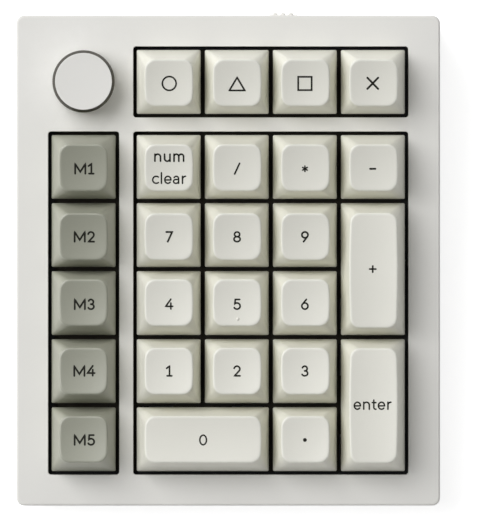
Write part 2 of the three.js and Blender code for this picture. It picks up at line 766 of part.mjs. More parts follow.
// The origin lies on the desk, under the middle of the whole keypad.
const extent = new THREE.Box3().setFromObject(keypad, true);
const middle = extent.getCenter(new THREE.Vector3());
stand.position.set(-middle.x, -middle.y, -extent.min.z);

export default keypad;
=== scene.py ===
# %% [markdown]
# # A numeric keypad in Blender
# The keypad is a wedge-shaped metal case with a field of sprung keys, a knob in the back left
# corner and a small mode slider in the back wall. The imported CAD model gives every place and
# every joint, so this script starts by loading it.

# %% Load the frame
import json
from math import asin, atan, atan2, cos, pi, radians, sin, tan

import bmesh
import bpy
from mathutils import Matrix, Vector


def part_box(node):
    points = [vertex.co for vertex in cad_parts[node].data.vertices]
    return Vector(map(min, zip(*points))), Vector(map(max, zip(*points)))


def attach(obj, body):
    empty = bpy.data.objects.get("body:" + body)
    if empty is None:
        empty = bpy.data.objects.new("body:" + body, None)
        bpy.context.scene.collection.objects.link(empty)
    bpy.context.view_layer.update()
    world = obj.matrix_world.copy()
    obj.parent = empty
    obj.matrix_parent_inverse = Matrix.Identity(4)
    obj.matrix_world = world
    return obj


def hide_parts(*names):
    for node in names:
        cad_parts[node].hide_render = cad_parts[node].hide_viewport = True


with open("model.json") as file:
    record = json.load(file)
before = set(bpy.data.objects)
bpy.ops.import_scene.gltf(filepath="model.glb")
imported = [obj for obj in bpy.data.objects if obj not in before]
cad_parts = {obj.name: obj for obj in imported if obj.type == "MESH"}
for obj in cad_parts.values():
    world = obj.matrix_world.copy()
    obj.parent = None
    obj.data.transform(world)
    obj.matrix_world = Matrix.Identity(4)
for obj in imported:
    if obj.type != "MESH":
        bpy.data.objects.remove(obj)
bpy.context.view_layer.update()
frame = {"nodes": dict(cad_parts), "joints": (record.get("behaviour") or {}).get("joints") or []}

MM = 0.001
NODES = frame["nodes"]

# %% [markdown]
# ## The tilted deck
# The keypad rises towards the back, and every key moves square to that slope. Each piece is
# modelled flat, in the deck's own axes, and tilted at the end, which is easier than modelling on a
# slope. The slope comes from the direction in which the CAD keys move. Heights are counted from the
# upper face of the switch plate, which is how switch makers draw them.

# %% The deck's axes
PRESS_AXIS = Vector(next(j for j in frame["joints"] if j["name"] == "key_5_press")["axis"])
TILT = asin(-PRESS_AXIS.y)


def flat_box(node):
    """A CAD node's lowest and highest corner in millimetres, once the deck is turned level."""
    turn = Matrix.Rotation(-TILT, 3, "X")
    points = [turn @ vertex.co / MM for vertex in NODES[node].data.vertices]
    low = Vector([min(p[i] for p in points) for i in range(3)])
    high = Vector([max(p[i] for p in points) for i in range(3)])
    return low, high


PLATE_FACE = flat_box("switch_plate")[1].z
CASE_LOW, CASE_HIGH = flat_box("top_case")
CASE_MIDDLE = (CASE_LOW + CASE_HIGH) / 2
ORIGIN = Vector((CASE_MIDDLE.x, CASE_MIDDLE.y, PLATE_FACE))
DECK = Matrix.Rotation(TILT, 4, "X") @ Matrix.Translation(ORIGIN * MM) @ Matrix.Scale(MM, 4)


def place_of(node):
    """The middle of a node's box over the deck's centre, with heights from the plate."""
    low, high = flat_box(node)
    return (low + high) / 2 - ORIGIN


print("tilt in degrees:", round(TILT * 180 / pi, 3), "deck origin in mm:", ORIGIN[:])

# %% [markdown]
# ## From points to a finished piece
# Everything here is moulded, milled or turned, so nearly every piece is a stack of outlines: a
# rounded rectangle at one height, a smaller one further up, and so on, with skins between them.
# Modifiers on a cube could do it too, but rings give exact corner radii and let sides bulge.

# %% Rings
STEPS_ROUND_CORNER = 7


def polar(turn):
    return Vector((cos(turn), sin(turn)))


def outline(half_x, half_y, radius, bow=0.0, per_side=8, steps=STEPS_ROUND_CORNER):
    """Points round a rounded rectangle. bow pushes the middle of the left and right sides out."""
    corners = [
        Vector((sx * (half_x - radius), sy * (half_y - radius)))
        for sx, sy in ((1, -1), (1, 1), (-1, 1), (-1, -1))
    ]
    points = []
    for corner, centre in enumerate(corners):
        for step in range(steps + 1):
            points.append(centre + polar((corner - 1 + step / steps) * pi / 2) * radius)
        start, end = points[-1], corners[(corner + 1) % 4] + polar(corner * pi / 2) * radius
        points += [start.lerp(end, i / per_side) for i in range(1, per_side)]
    if bow:
        for p in points:
            p.x *= 1 + bow / half_x * (1 - (p.y / half_y) ** 2)
    return points


def circle(radius, x=0, y=0, count=40):
    turns = [2 * pi * i / count for i in range(count)]
    return [Vector((x + radius * cos(t), y + radius * sin(t))) for t in turns]


def shifted(points, x, y):
    return [Vector((p.x + x, p.y + y)) for p in points]


def level(points, z):
    """The same points, laid flat at one height."""
    return [Vector((p.x, p.y, z)) for p in points]


print("an outline has", len(outline(9, 9, 1)), "points")

# %% Skins
def skin(bm, rings, close_first=True, close_last=True, material=0):
    """Faces between rings that have the same number of points, each a list of 3D points."""
    rows = [[bm.verts.new(p) for p in ring] for ring in rings]
    count = len(rows[0])
    for low, high in zip(rows, rows[1:]):
        for i in range(count):
            j = (i + 1) % count
            bm.faces.new((low[i], low[j], high[j], high[i])).material_index = material
    for row, wanted in ((rows[0], close_first), (rows[-1], close_last)):
        if wanted:
            bm.faces.new(row).material_index = material
    return rows


def lathe(bm, profile, x=0, y=0, sides=96, material=0):
    """Sweeps (radius, height) points round an upright axis and closes both ends."""
    skin(bm, [level(circle(r, x, y, sides), z) for r, z in profile], material=material)


def moulded_block(bm, half_x, half_y, low, high, x=0, y=0, radius=0.4, ease=0.15, material=0):
    """An upright block with rounded corners and eased ends."""
    rings = []
    for inset, z in ((ease, low), (0, low + ease), (0, high - ease), (ease, high)):
        points = outline(half_x - inset, half_y - inset, radius - inset, per_side=1, steps=2)
        rings.append(level(shifted(points, x, y), z))
    skin(bm, rings, material=material)


trial = bmesh.new()
moulded_block(trial, 1, 1, 0, 1)
print("a moulded block has", len(trial.faces), "faces")
trial.free()

# %% [markdown]
# A skin becomes a piece when its faces look outwards, its soft edges are shaded smooth and it is
# told which body it rides on. Sharp edges are picked by angle, so a milled corner stays crisp beside
# a round one. A bevel with hardened normals would need more faces for that.

# %% Pieces
SHARP_FROM = 35  # degrees between two faces


def to_mesh(name, bm):
    """Mesh data from a bmesh, with all faces looking outwards."""
    bmesh.ops.recalc_face_normals(bm, faces=bm.faces)
    mesh = bpy.data.meshes.new(name)
    bm.to_mesh(mesh)
    bm.free()
    return mesh


def in_scene(name, data):
    thing = bpy.data.objects.new(name, data)
    bpy.context.scene.collection.objects.link(thing)
    return thing


def new_piece(name, bm, body, materials, tilt=True, sharp=SHARP_FROM):
    """Turns a bmesh in deck millimetres into a shaded piece that rides on a body."""
    mesh = to_mesh(name, bm)
    mesh.transform(DECK if tilt else Matrix.Scale(MM, 4))
    for material in materials:
        mesh.materials.append(material)
    mesh.shade_smooth()
    mesh.set_sharp_from_angle(angle=radians(sharp))
    piece = in_scene(name, mesh)
    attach(piece, body)
    return piece


print("edges are sharp from", SHARP_FROM, "degrees")

# %% [markdown]
# ## Camera
# A product shot of a keypad is taken from straight above the keys with a long lens, so that no key
# hides another. An orthographic camera would be close to this, but a real lens also shows a little
# of the outer keys' sides.

# %% Camera
FRAME_HEIGHT = 148.94  # millimetres of the deck that the picture is tall
LENS, SENSOR = 800, 36
LOOK_AT = Vector((3.42, -1.52, 6.4))  # the middle of the picture, over the deck's centre
SIDEWAYS = radians(0.5)  # the camera stands a touch to the left of upright

distance = FRAME_HEIGHT / 2 / tan(atan(SENSOR / 2 / LENS))
gaze = Matrix.Rotation(TILT, 4, "X") @ Matrix.Rotation(-SIDEWAYS, 4, "Y")
camera_data = bpy.data.cameras.new("camera")
camera_data.lens = LENS
camera_data.sensor_width = SENSOR
camera_data.clip_start = 0.1
camera_data.clip_end = 20
camera = in_scene("camera", camera_data)
camera.matrix_world = (
    Matrix.Translation(DECK @ LOOK_AT) @ gaze @ Matrix.Translation((0, 0, distance * MM))
)
bpy.context.scene.camera = camera
print("camera stands", round(distance / 1000, 2), "m from the keys")

# %% [markdown]
# ## Building shaders in code
# Materials, the sky and the shared effects are all node trees. Small helpers keep them short: they
# make a node with its values, link nodes by their sockets and turn chart colours into linear ones.

# %% Shader helpers
def srgb(red, green, blue):
    """A colour as a paint chart gives it, 0 to 255, as the linear values that shaders take."""
    return tuple(((c / 255 + 0.055) / 1.055) ** 2.4 for c in (red, green, blue)) + (1,)


def tree_of(owner):
    owner.use_nodes = True
    owner.node_tree.nodes.clear()
    return owner.node_tree


def shader_node(tree, kind, inputs=None, **settings):
    """A node of one kind, with its settings and the values of its inputs."""
    made = tree.nodes.new("ShaderNode" + kind)
    for name, value in settings.items():
        setattr(made, name, value)
    for socket, value in (inputs or {}).items():
        made.inputs[socket].default_value = value
    return made


def wire(tree, *ends):
    """Links (node, output name) to (node, input name), pair by pair."""
    for (start, out), (end, into) in zip(ends[::2], ends[1::2]):
        tree.links.new(start.outputs[out], end.inputs[into])


print("white paint in linear values:", [round(c, 3) for c in srgb(227, 226, 222)])

# %% [markdown]
# ## Floor
# The keypad stands on white paper that runs out of sight. To the camera it glows a little, so it
# reads as white and still takes the shadow. A stronger lamp would bleach the keypad with it.

# %% Floor
FLOOR_HALF, FLOOR_DROP = 8, 0.0001  # metres
PAPER_GREY, PAPER_GLOW = 0.86, 0.7

bm = bmesh.new()
bmesh.ops.create_grid(bm, x_segments=8, y_segments=8, size=FLOOR_HALF)
floor = in_scene("floor", to_mesh("floor", bm))
floor.location.z = -FLOOR_DROP

paper = bpy.data.materials.new("white paper")
tree = tree_of(paper)
lit = shader_node(tree, "BsdfDiffuse", {"Color": (PAPER_GREY, PAPER_GREY, PAPER_GREY, 1)})
glow = shader_node(tree, "Emission")
ray = shader_node(tree, "LightPath")
seen = shader_node(tree, "Math", operation="MAXIMUM")
dim = shader_node(tree, "Math", {1: PAPER_GLOW}, operation="MULTIPLY")
both = shader_node(tree, "AddShader")
sink = shader_node(tree, "OutputMaterial")
wire(tree, (ray, "Is Camera Ray"), (seen, 0), (ray, "Is Glossy Ray"), (seen, 1))
wire(tree, (seen, 0), (dim, 0), (dim, 0), (glow, "Strength"))
wire(tree, (lit, 0), (both, 0), (glow, 0), (both, 1), (both, 0), (sink, "Surface"))
floor.data.materials.append(paper)
print("the paper is", 2 * FLOOR_HALF, "m wide")

# %% [markdown]
# ## Sky and lamp
# One large softbox stands to the back left, and the sky fills in the rest. A scooped keycap shows
# its hollow by its sheen, so glossy surfaces see a bright studio wall on the lamp's side and a dim
# one opposite. The camera itself sees plain white.

# %% Sky and lamp
SKY_FILL = 0.34
BRIGHT_SIDE = Vector((-0.6, 0.8, 0))
DIM_WALL, BRIGHT_WALL = 0.2, 1.5
WALLS_FADE = (-0.4, 0.2)  # from the dim to the bright wall, along the way to the bright side

world = bpy.data.worlds.new("studio")
bpy.context.scene.world = world
tree = tree_of(world)
fill = shader_node(tree, "Background", {"Strength": SKY_FILL})
white = shader_node(tree, "Background", {"Strength": 1.0})
walls = shader_node(tree, "Background")
where = shader_node(tree, "TexCoord")
towards = shader_node(tree, "VectorMath", {1: BRIGHT_SIDE}, operation="DOT_PRODUCT")
glow = shader_node(
    tree, "MapRange",
    {"From Min": WALLS_FADE[0], "From Max": WALLS_FADE[1], "To Min": DIM_WALL, "To Max": BRIGHT_WALL},
    interpolation_type="SMOOTHSTEP",
)
ray = shader_node(tree, "LightPath")
shiny = shader_node(tree, "MixShader")
mix = shader_node(tree, "MixShader")
sink = shader_node(tree, "OutputWorld")
wire(tree, (where, "Generated"), (towards, 0), (towards, "Value"), (glow, "Value"))
wire(tree, (glow, 0), (walls, "Strength"), (ray, "Is Glossy Ray"), (shiny, 0))
wire(tree, (fill, 0), (shiny, 1), (walls, 0), (shiny, 2), (ray, "Is Camera Ray"), (mix, 0))
wire(tree, (shiny, 0), (mix, 1), (white, 0), (mix, 2), (mix, 0), (sink, "Surface"))

LAMP_DISTANCE, LAMP_SIZE, LAMP_WATTS = 3.0, 2.7, 92
LAMP_AZIMUTH, LAMP_ELEVATION = radians(150), radians(50)

softbox = bpy.data.lights.new("softbox", "AREA")
softbox.size = LAMP_SIZE
softbox.energy = LAMP_WATTS
lamp = in_scene("softbox", softbox)
reach = LAMP_DISTANCE * cos(LAMP_ELEVATION)
aim = DECK @ LOOK_AT
lamp.location = aim + Vector((
    reach * cos(LAMP_AZIMUTH),
    reach * sin(LAMP_AZIMUTH),
    LAMP_DISTANCE * sin(LAMP_ELEVATION),
))
lamp.rotation_euler = (aim - lamp.location).to_track_quat("-Z", "Y").to_euler()
bpy.context.scene.view_settings.view_transform = "Standard"
print("the softbox stands at", [round(v, 2) for v in lamp.location])

# %% [markdown]
# ## Effects that the finishes share
# A moulded or sprayed surface has a fine grain that catches the light, and faint clouds where the
# coat is thicker. Each effect is a node group, built once and placed in the materials with its own
# values. Noise in object space has the right scale on any piece, which an image would not have.

# %% Shared effect: grain and clouds
FLOAT, COLOUR = "NodeSocketFloat", "NodeSocketColor"
LIGHT_GREY = (0.8, 0.8, 0.8, 1)


def group_with(name, inputs, outputs):
    """A new shader node group with inputs {name: (kind, default)} and outputs {name: kind}."""
    group = bpy.data.node_groups.new(name, "ShaderNodeTree")
    for label, (kind, default) in inputs.items():
        socket = group.interface.new_socket(label, in_out="INPUT", socket_type=kind)
        socket.default_value = default
    for label, kind in outputs.items():
        group.interface.new_socket(label, in_out="OUTPUT", socket_type=kind)
    return group, group.nodes.new("NodeGroupInput"), group.nodes.new("NodeGroupOutput")


def maths(tree, operation, first, second):
    """The output of a Math node; first and second are numbers or outputs."""
    made = shader_node(tree, "Math", operation=operation)
    for index, value in enumerate((first, second)):
        if isinstance(value, (int, float)):
            made.inputs[index].default_value = value
        else:
            tree.links.new(value, made.inputs[index])
    return made.outputs[0]


def around(tree, noise, middle, strength):
    """A value that a noise lets swing round a middle."""
    swing = maths(tree, "MULTIPLY", maths(tree, "SUBTRACT", noise, 0.5), strength)
    return maths(tree, "ADD", swing, middle)


grain_group, start, end = group_with(
    "grain and clouds",
    {
        "Colour": (COLOUR, LIGHT_GREY),
        "Grains per metre": (FLOAT, 4000.0),
        "Clouds per metre": (FLOAT, 60.0),
        "Cloud strength": (FLOAT, 0.04),
        "Speckle": (FLOAT, 0.02),
        "Roughness": (FLOAT, 0.5),
        "Roughness spread": (FLOAT, 0.1),
    },
    {"Colour": COLOUR, "Roughness": FLOAT, "Height": FLOAT},
)
where = shader_node(grain_group, "TexCoord")
fine = shader_node(grain_group, "TexNoise", {"Detail": 2})
clouds = shader_node(grain_group, "TexNoise", {"Detail": 3})
grey = shader_node(grain_group, "CombineColor")
tint = shader_node(grain_group, "Mix", {"Factor": 1}, data_type="RGBA", blend_type="MULTIPLY")
cloudy = clouds.outputs["Fac"]
shade = around(grain_group, cloudy, 1.0, start.outputs["Cloud strength"])
shade = around(grain_group, fine.outputs["Fac"], shade, start.outputs["Speckle"])
rough = around(grain_group, cloudy, start.outputs["Roughness"], start.outputs["Roughness spread"])
for channel in ("Red", "Green", "Blue"):
    grain_group.links.new(shade, grey.inputs[channel])
grain_group.links.new(rough, end.inputs["Roughness"])
wire(grain_group, (where, "Object"), (fine, "Vector"), (where, "Object"), (clouds, "Vector"))
wire(grain_group, (start, "Grains per metre"), (fine, "Scale"))
wire(grain_group, (start, "Clouds per metre"), (clouds, "Scale"))
wire(grain_group, (start, "Colour"), (tint, 6), (grey, 0), (tint, 7), (tint, 2), (end, "Colour"))
wire(grain_group, (fine, "Fac"), (end, "Height"))
print("built the group", grain_group.name)

# %% [markdown]
# Handled edges polish up and lighten. Pointiness tells how far an edge stands out, and a noise
# breaks it up, because wear is never even. Painting the wear by hand would take a map per piece.

# %% Shared effect: rubbed edges
WEAR_FROM, WEAR_FULL = 0.52, 0.62  # pointiness where the wear begins and is whole
WEAR_PATCHES = 350  # a metre

edge_group, start, end = group_with(
    "rubbed edges",
    {
        "Colour": (COLOUR, LIGHT_GREY),
        "Edge colour": (COLOUR, (1, 1, 1, 1)),
        "Roughness": (FLOAT, 0.5),
        "Edge roughness": (FLOAT, 0.3),
        "Amount": (FLOAT, 0.3),
    },
    {"Colour": COLOUR, "Roughness": FLOAT},
)
shape = shader_node(edge_group, "NewGeometry")
where = shader_node(edge_group, "TexCoord")
patchy = shader_node(edge_group, "TexNoise", {"Scale": WEAR_PATCHES})
ridge = shader_node(edge_group, "MapRange", {"From Min": WEAR_FROM, "From Max": WEAR_FULL})
paint = shader_node(edge_group, "Mix", data_type="RGBA")
polish = shader_node(edge_group, "Mix")
mask = maths(edge_group, "MULTIPLY", ridge.outputs[0], patchy.outputs["Fac"])
mask = maths(edge_group, "MULTIPLY", mask, start.outputs["Amount"])
for blend in (paint, polish):
    edge_group.links.new(mask, blend.inputs["Factor"])
wire(edge_group, (where, "Object"), (patchy, "Vector"), (shape, "Pointiness"), (ridge, "Value"))
wire(edge_group, (start, "Colour"), (paint, 6), (start, "Edge colour"), (paint, 7))
wire(edge_group, (start, "Roughness"), (polish, "A"), (start, "Edge roughness"), (polish, "B"))
wire(edge_group, (paint, 2), (end, "Colour"), (polish, 0), (end, "Roughness"))
print("built the group", edge_group.name)

# %% [markdown]
# Light that has gone through a keycap's walls, which are thin, makes its sides lighter than its top.
# Subsurface scattering would be the true way, but at this size it mostly takes light away, so this
# light is painted: the sides of both plastics get a lighter colour by how steep the surface is.

# %% Shared effect: painted light on steep sides
TOP_STEEPNESS, WALL_STEEPNESS = 0.85, 0.45  # how far upwards the surface looks

painted_side_light_group, start, end = group_with(
    "thin walls",
    {"Colour": (COLOUR, LIGHT_GREY), "Side colour with painted light": (COLOUR, (0.9, 0.9, 0.9, 1))},
    {"Colour": COLOUR},
)
where = shader_node(painted_side_light_group, "TexCoord")
part = shader_node(painted_side_light_group, "SeparateXYZ")
upright = shader_node(
    painted_side_light_group, "MapRange", {"From Min": TOP_STEEPNESS, "From Max": WALL_STEEPNESS}
)
blend = shader_node(painted_side_light_group, "Mix", data_type="RGBA")
wire(painted_side_light_group, (where, "Normal"), (part, 0), (part, "Z"), (upright, "Value"))
wire(painted_side_light_group, (upright, 0), (blend, "Factor"), (start, "Colour"), (blend, 6))
wire(painted_side_light_group, (start, "Side colour with painted light"), (blend, 7), (blend, 2), (end, "Colour"))
print("built the group", painted_side_light_group.name)

# %% [markdown]
# ## The finishes
# The case is aluminium under a sprayed shell-white coat: satin, with an orange-peel skin too fine to
# see from a metre away. The keycaps are PBT plastic, which comes out of the mould with a dry, sandy
# grain. Wires, socket and plate are steel, feet and gasket are silicone.
# One function makes them all from a colour and a few sizes, because they differ only in those.

# %% A finish from its colour and sizes
def finish_of(name, colour, rough, spread=0.1, grains=4000, bump=0.02, clouds=60, cloud=0.04,
              speckle=0.02, metallic=0.0, edge=0.0, edge_colour=(1, 1, 1, 1), coat=0.0,
              specular=0.5, painted_light_side_colour=None):
    """A Principled material whose colour, roughness and bump come from the shared effects."""
    material = bpy.data.materials.new(name)
    tree = tree_of(material)
    grain = shader_node(tree, "Group", node_tree=grain_group, inputs={
        "Colour": colour, "Grains per metre": grains, "Clouds per metre": clouds,
        "Cloud strength": cloud, "Speckle": speckle, "Roughness": rough,
        "Roughness spread": spread,
    })
    shader = shader_node(tree, "BsdfPrincipled", {
        "Metallic": metallic, "Coat Weight": coat, "Coat Roughness": 0.3,
        "Specular IOR Level": specular,
    })
    bumps = shader_node(tree, "Bump", {"Strength": 0.6, "Distance": bump * MM})
    sink = shader_node(tree, "OutputMaterial")
    surface = grain
    # the steep sides get a painted lighter colour, standing in for light through the walls
    if painted_light_side_colour:
        walls = shader_node(tree, "Group", node_tree=painted_side_light_group, inputs={
            "Colour": colour, "Side colour with painted light": painted_light_side_colour,
        })
        wire(tree, (walls, "Colour"), (grain, "Colour"))
    if edge:
        surface = shader_node(tree, "Group", node_tree=edge_group, inputs={
            "Amount": edge, "Edge colour": edge_colour, "Edge roughness": rough * 0.7,
        })
        wire(tree, (grain, "Colour"), (surface, "Colour"))
        wire(tree, (grain, "Roughness"), (surface, "Roughness"))
    wire(tree, (surface, "Colour"), (shader, "Base Color"))
    wire(tree, (surface, "Roughness"), (shader, "Roughness"))
    wire(tree, (grain, "Height"), (bumps, "Height"), (bumps, "Normal"), (shader, "Normal"))
    wire(tree, (shader, 0), (sink, "Surface"))
    return material


print("shared effects:", [group.name for group in bpy.data.node_groups])

# %% Finishes of the case and the knob
SHELL_WHITE = srgb(227, 226, 222)
SHELL = finish_of("shell white coat", SHELL_WHITE, 0.5, grains=1800, bump=0.012, edge=0.3)
UNDER = finish_of("shell white coat, unworn", SHELL_WHITE, 0.5, grains=1800, bump=0.012)
KNOB_WHITE = finish_of("satin knob coat", srgb(226, 225, 221), 0.42, grains=2600, bump=0.008)
KNOB_RING = finish_of("dark polished chamfer", srgb(86, 84, 79), 0.3, metallic=1.0, bump=0.004,
                      clouds=200)

# %% Finishes of the keys
# each plastic's second colour is painted light: the lighter tone of its steep sides
CREAM = finish_of("cream PBT", srgb(229, 228, 219), 0.4, grains=5200, bump=0.03, speckle=0.05,
                  cloud=0.05, edge=0.1, painted_light_side_colour=srgb(236, 235, 223))
SAGE = finish_of("grey-green PBT", srgb(149, 150, 136), 0.4, grains=5200, bump=0.03,
                 speckle=0.07, cloud=0.06, edge=0.1, edge_colour=srgb(190, 191, 178), specular=0.9,
                 painted_light_side_colour=srgb(166, 167, 152))
INK = finish_of("dark legend ink", srgb(30, 30, 24), 0.7, bump=0.01, specular=0.2)
BLACK = finish_of("black switch plastic", srgb(62, 59, 51), 0.6, grains=3000, specular=0.15)
SLIDER = finish_of("amber switch slider", srgb(122, 70, 30), 0.4, grains=3000)

# %% Finishes of the metal and the inner parts
PLATE = finish_of("black powder coat", srgb(62, 59, 51), 0.7, speckle=0.1, specular=0.12)
STEEL = finish_of("bright steel", srgb(190, 190, 188), 0.28, metallic=1.0, cloud=0.1)
DARK_STEEL = finish_of("blackened steel", srgb(52, 51, 50), 0.38, metallic=1.0, edge=0.6,
                       edge_colour=srgb(130, 128, 124))
GOLD = finish_of("gold contact plating", srgb(212, 170, 92), 0.25, metallic=1.0)
BOARD = finish_of("black solder mask", srgb(16, 20, 22), 0.35, clouds=240, cloud=0.5, coat=0.2)
FOAM = finish_of("cellular foam", srgb(48, 48, 50), 0.92, grains=1500, bump=0.25, speckle=0.5)
FOIL = finish_of("battery wrap", srgb(150, 153, 158), 0.38, clouds=35, cloud=0.15, bump=0.05)
RUBBER = finish_of("black silicone", srgb(26, 26, 27), 0.8, grains=2500, bump=0.04, speckle=0.15)
print("finishes:", len([m for m in bpy.data.materials if m.use_nodes]))

# %% [markdown]
# ## Keycaps
# A keycap starts as a square skirt and narrows to a smaller, rounder top, scooped out where the
# finger lands. The back rows are taller and lean towards the hand. The left and right edges of the
# top bulge a little, because the scoop cuts the sloping sides lower in the middle.
# A subdivided cube would give soft corners everywhere. Rings keep the skirt crisp and put the
# rounding just where the mould has it: along the rim of the top.

# %% How the caps differ
UNIT = 19.05
SKIRT = 6.4  # height of the skirt's edge over the plate
SKIRT_HALF, TOP_HALF_X, TOP_HALF_Y = 8.95, 6.5, 6.6
SKIRT_CORNER, TOP_CORNER = 0.45, 2.6
BOW = 0.38  # how far the left and right edges of the top bulge
HOLLOW, LONG_HOLLOW = 0.42, 0.25  # how deep the scoop is along a short and along a long side
RIM_LEVEL = 0.72  # where the scoop crosses the cap's height, as a share of the half width, squared
SIDE_CURVE, CORNER_CURVE = 1.15, 0.6  # how the sides draw in and their corners open upwards
MACRO_KEYS = [f"key_m{digit}" for digit in range(1, 6)]
# Row by row from the back: height over the skirt, lean in degrees, the top's shift to the back,
# and how far the legend stands behind the middle of the top.
ROWS = [
    (12.0, 9.5, -0.45, -0.15), (12.0, 9.5, -0.3, -0.29), (12.0, 9.0, -0.5, -0.02),
    (11.4, 2.5, 0.15, -0.45), (11.6, -1.0, 0.1, 0.04), (11.6, -1.0, 0.1, -0.15),
]
TALL = {2: (11.9, 1.6, -0.4, 0.41), 4: (11.6, -0.8, 0.0, 0.05)}  # the same for the tall keys
ROW_ZERO = 2.75  # the back row's middle, in units behind the deck's centre


class Cap:
    """One keycap's sizes, with heights over the plate and places over its switch."""

    def __init__(self, node):
        low, high = flat_box(node)
        self.name = node
        self.body = node + "_body"
        self.slot = "sage" if node in MACRO_KEYS else "cream"
        self.place = (low + high) / 2 - ORIGIN
        self.grow_x = round((high.x - low.x) / 2 - SKIRT_HALF, 3)
        self.grow_y = round((high.y - low.y) / 2 - SKIRT_HALF, 3)
        row = round(ROW_ZERO - (self.place.y + self.grow_y) / UNIT)
        shape = TALL[row] if self.grow_y > 1 else ROWS[row]
        height, self.lean, self.shift, self.lift = shape
        self.top = SKIRT + height
        self.long = self.grow_x + self.grow_y > 1

    def scoop(self, x, y):
        """Height of the scooped top at a place over the key's middle."""
        across = x / (TOP_HALF_X + self.grow_x)
        along = (y - self.shift) / (TOP_HALF_Y + self.grow_y)
        hollow_x = HOLLOW if self.grow_x < 1 else LONG_HOLLOW
        hollow_y = HOLLOW if self.grow_y < 1 else LONG_HOLLOW
        rise = hollow_x * (across**2 - RIM_LEVEL) + hollow_y * (along**2 - RIM_LEVEL)
        return self.top + (y - self.shift) * tan(radians(self.lean)) + rise

    def top_ring(self, inset, drop, bow=BOW):
        """The outline of the top, moved in and down from the rim."""
        half_x, half_y = TOP_HALF_X + self.grow_x - inset, TOP_HALF_Y + self.grow_y - inset
        radius = min(TOP_CORNER - 0.2 * inset, 0.85 * min(half_x, half_y))
        ring = []
        for p in outline(half_x, half_y, radius, bow):
            y = p.y + self.shift
            ring.append(Vector((p.x, y, self.scoop(p.x, y) - drop)))
        return ring

    def side_ring(self, share, crown):
        """The outline of the sides at a share of the way from the skirt's edge up to the crown."""
        inward = share**SIDE_CURVE
        half_x = self.grow_x + SKIRT_HALF + (TOP_HALF_X - SKIRT_HALF) * inward
        half_y = self.grow_y + SKIRT_HALF + (TOP_HALF_Y - SKIRT_HALF) * inward
        radius = SKIRT_CORNER + (TOP_CORNER - SKIRT_CORNER) * share**CORNER_CURVE
        points = outline(half_x, half_y, radius, BOW * share)
        return [
            Vector((p.x, p.y + self.shift * inward, SKIRT + (q.z - SKIRT) * share))
            for p, q in zip(points, crown)
        ]


CAPS = [Cap(node) for node in NODES if node.startswith("key_")]
print(len(CAPS), "caps, of which", sum(cap.long for cap in CAPS), "are two units long")

# %% [markdown]
# The skin of a cap is one stack of rings that starts under the roof and ends in the scoop. The
# scoop's middle is closed with a grid, because a single many-sided face could not stay hollow.

# %% One cap's outer skin
WALL = 1.5  # how thick a cap is
INNER_CORNER, ROOF_DROP = 0.4, 2.6
SIDE_STEPS = 8
RIM = 0.55  # rounding between the sides and the scoop
SCOOP_INSETS = (0.9, 1.5, 2.3, 3.2, 4.1, 5.0, 5.6)


def cap_rings(cap):
    """Rings from the inner roof, down the inside, round the skirt, up the side and over the rim."""
    crown = cap.top_ring(0, RIM)
    foot = cap.side_ring(0, crown)
    half_x, half_y = SKIRT_HALF + cap.grow_x - WALL, SKIRT_HALF + cap.grow_y - WALL
    inner = level(outline(half_x, half_y, INNER_CORNER), SKIRT)
    rings = [cap.top_ring(WALL, ROOF_DROP), inner]
    rings.append([p.lerp(q, 0.8) for p, q in zip(inner, foot)])
    rings += [cap.side_ring(step / SIDE_STEPS, crown) for step in range(SIDE_STEPS + 1)]
    for degrees in (25, 50, 70, 90):
        turn = radians(degrees)
        rings.append(cap.top_ring(RIM * (1 - cos(turn)), RIM * (1 - sin(turn))))
    last = SCOOP_INSETS[-1]
    for inset in SCOOP_INSETS:
        rings.append(cap.top_ring(inset, 0, bow=BOW * (last - inset) / (last - RIM)))
    return rings


def close_scoop(bm, cap, ring):
    """Closes the scoop with a grid whose rows run across the cap's short way."""
    across = 0 if cap.grow_y >= cap.grow_x else 1
    along = 1 - across
    rows = {}
    for vert in ring:
        rows.setdefault(round(vert.co[along], 3), []).append(vert)
    rows = [sorted(rows[key], key=lambda v: v.co[across]) for key in sorted(rows)]
    first, last = rows[0][0].co[across], rows[0][-1].co[across]
    shares = [(vert.co[across] - first) / (last - first) for vert in rows[0][1:-1]]
    for row in rows[1:-1]:
        middles = [row[0].co.lerp(row[-1].co, share) for share in shares]
        row[1:1] = [bm.verts.new((p.x, p.y, cap.scoop(p.x, p.y))) for p in middles]
    for low, high in zip(rows, rows[1:]):
        for i in range(len(low) - 1):
            bm.faces.new((low[i], low[i + 1], high[i + 1], high[i]))


print("a cap's skin has", len(cap_rings(CAPS[0])), "rings")

# %% [markdown]
# Each cap is pressed onto the amber slider of its switch, so the two move as one and are modelled
# together. The long caps also carry two stabiliser stems. The 5 has a raised dot for the finger.

# %% Make the caps
SOCKET_RADIUS, STEM_RADIUS = 2.8, 2.1  # the round posts under the roof
POST_EASE, ROOF_DEPTH = 0.15, 3.2
SLIDER_HALF, SLIDER_FOOT = (3.4, 2.7), 0.4
STEM_REACH = 11.9  # from the middle of a long cap to its stabiliser stems
STEM_HALF, STEM_FOOT = (1.5, 3.3), 2.2
DOT_PLACE, DOT_RADIUS, DOT_HEIGHT, DOT_SUNK = (0.2, -4.4), 0.45, 0.22, 0.03
PLASTICS = {"sage": SAGE, "cream": CREAM}


def post(bm, cap, radius, x=0, y=0):
    """A round pin from just over the skirt's edge up to the roof, with eased ends."""
    low, high = SKIRT + 0.1, cap.top - ROOF_DEPTH
    profile = [(radius - POST_EASE, low), (radius, low + POST_EASE)]
    profile += [(radius, high - POST_EASE), (radius - POST_EASE, high)]
    lathe(bm, profile, x, y, sides=20)


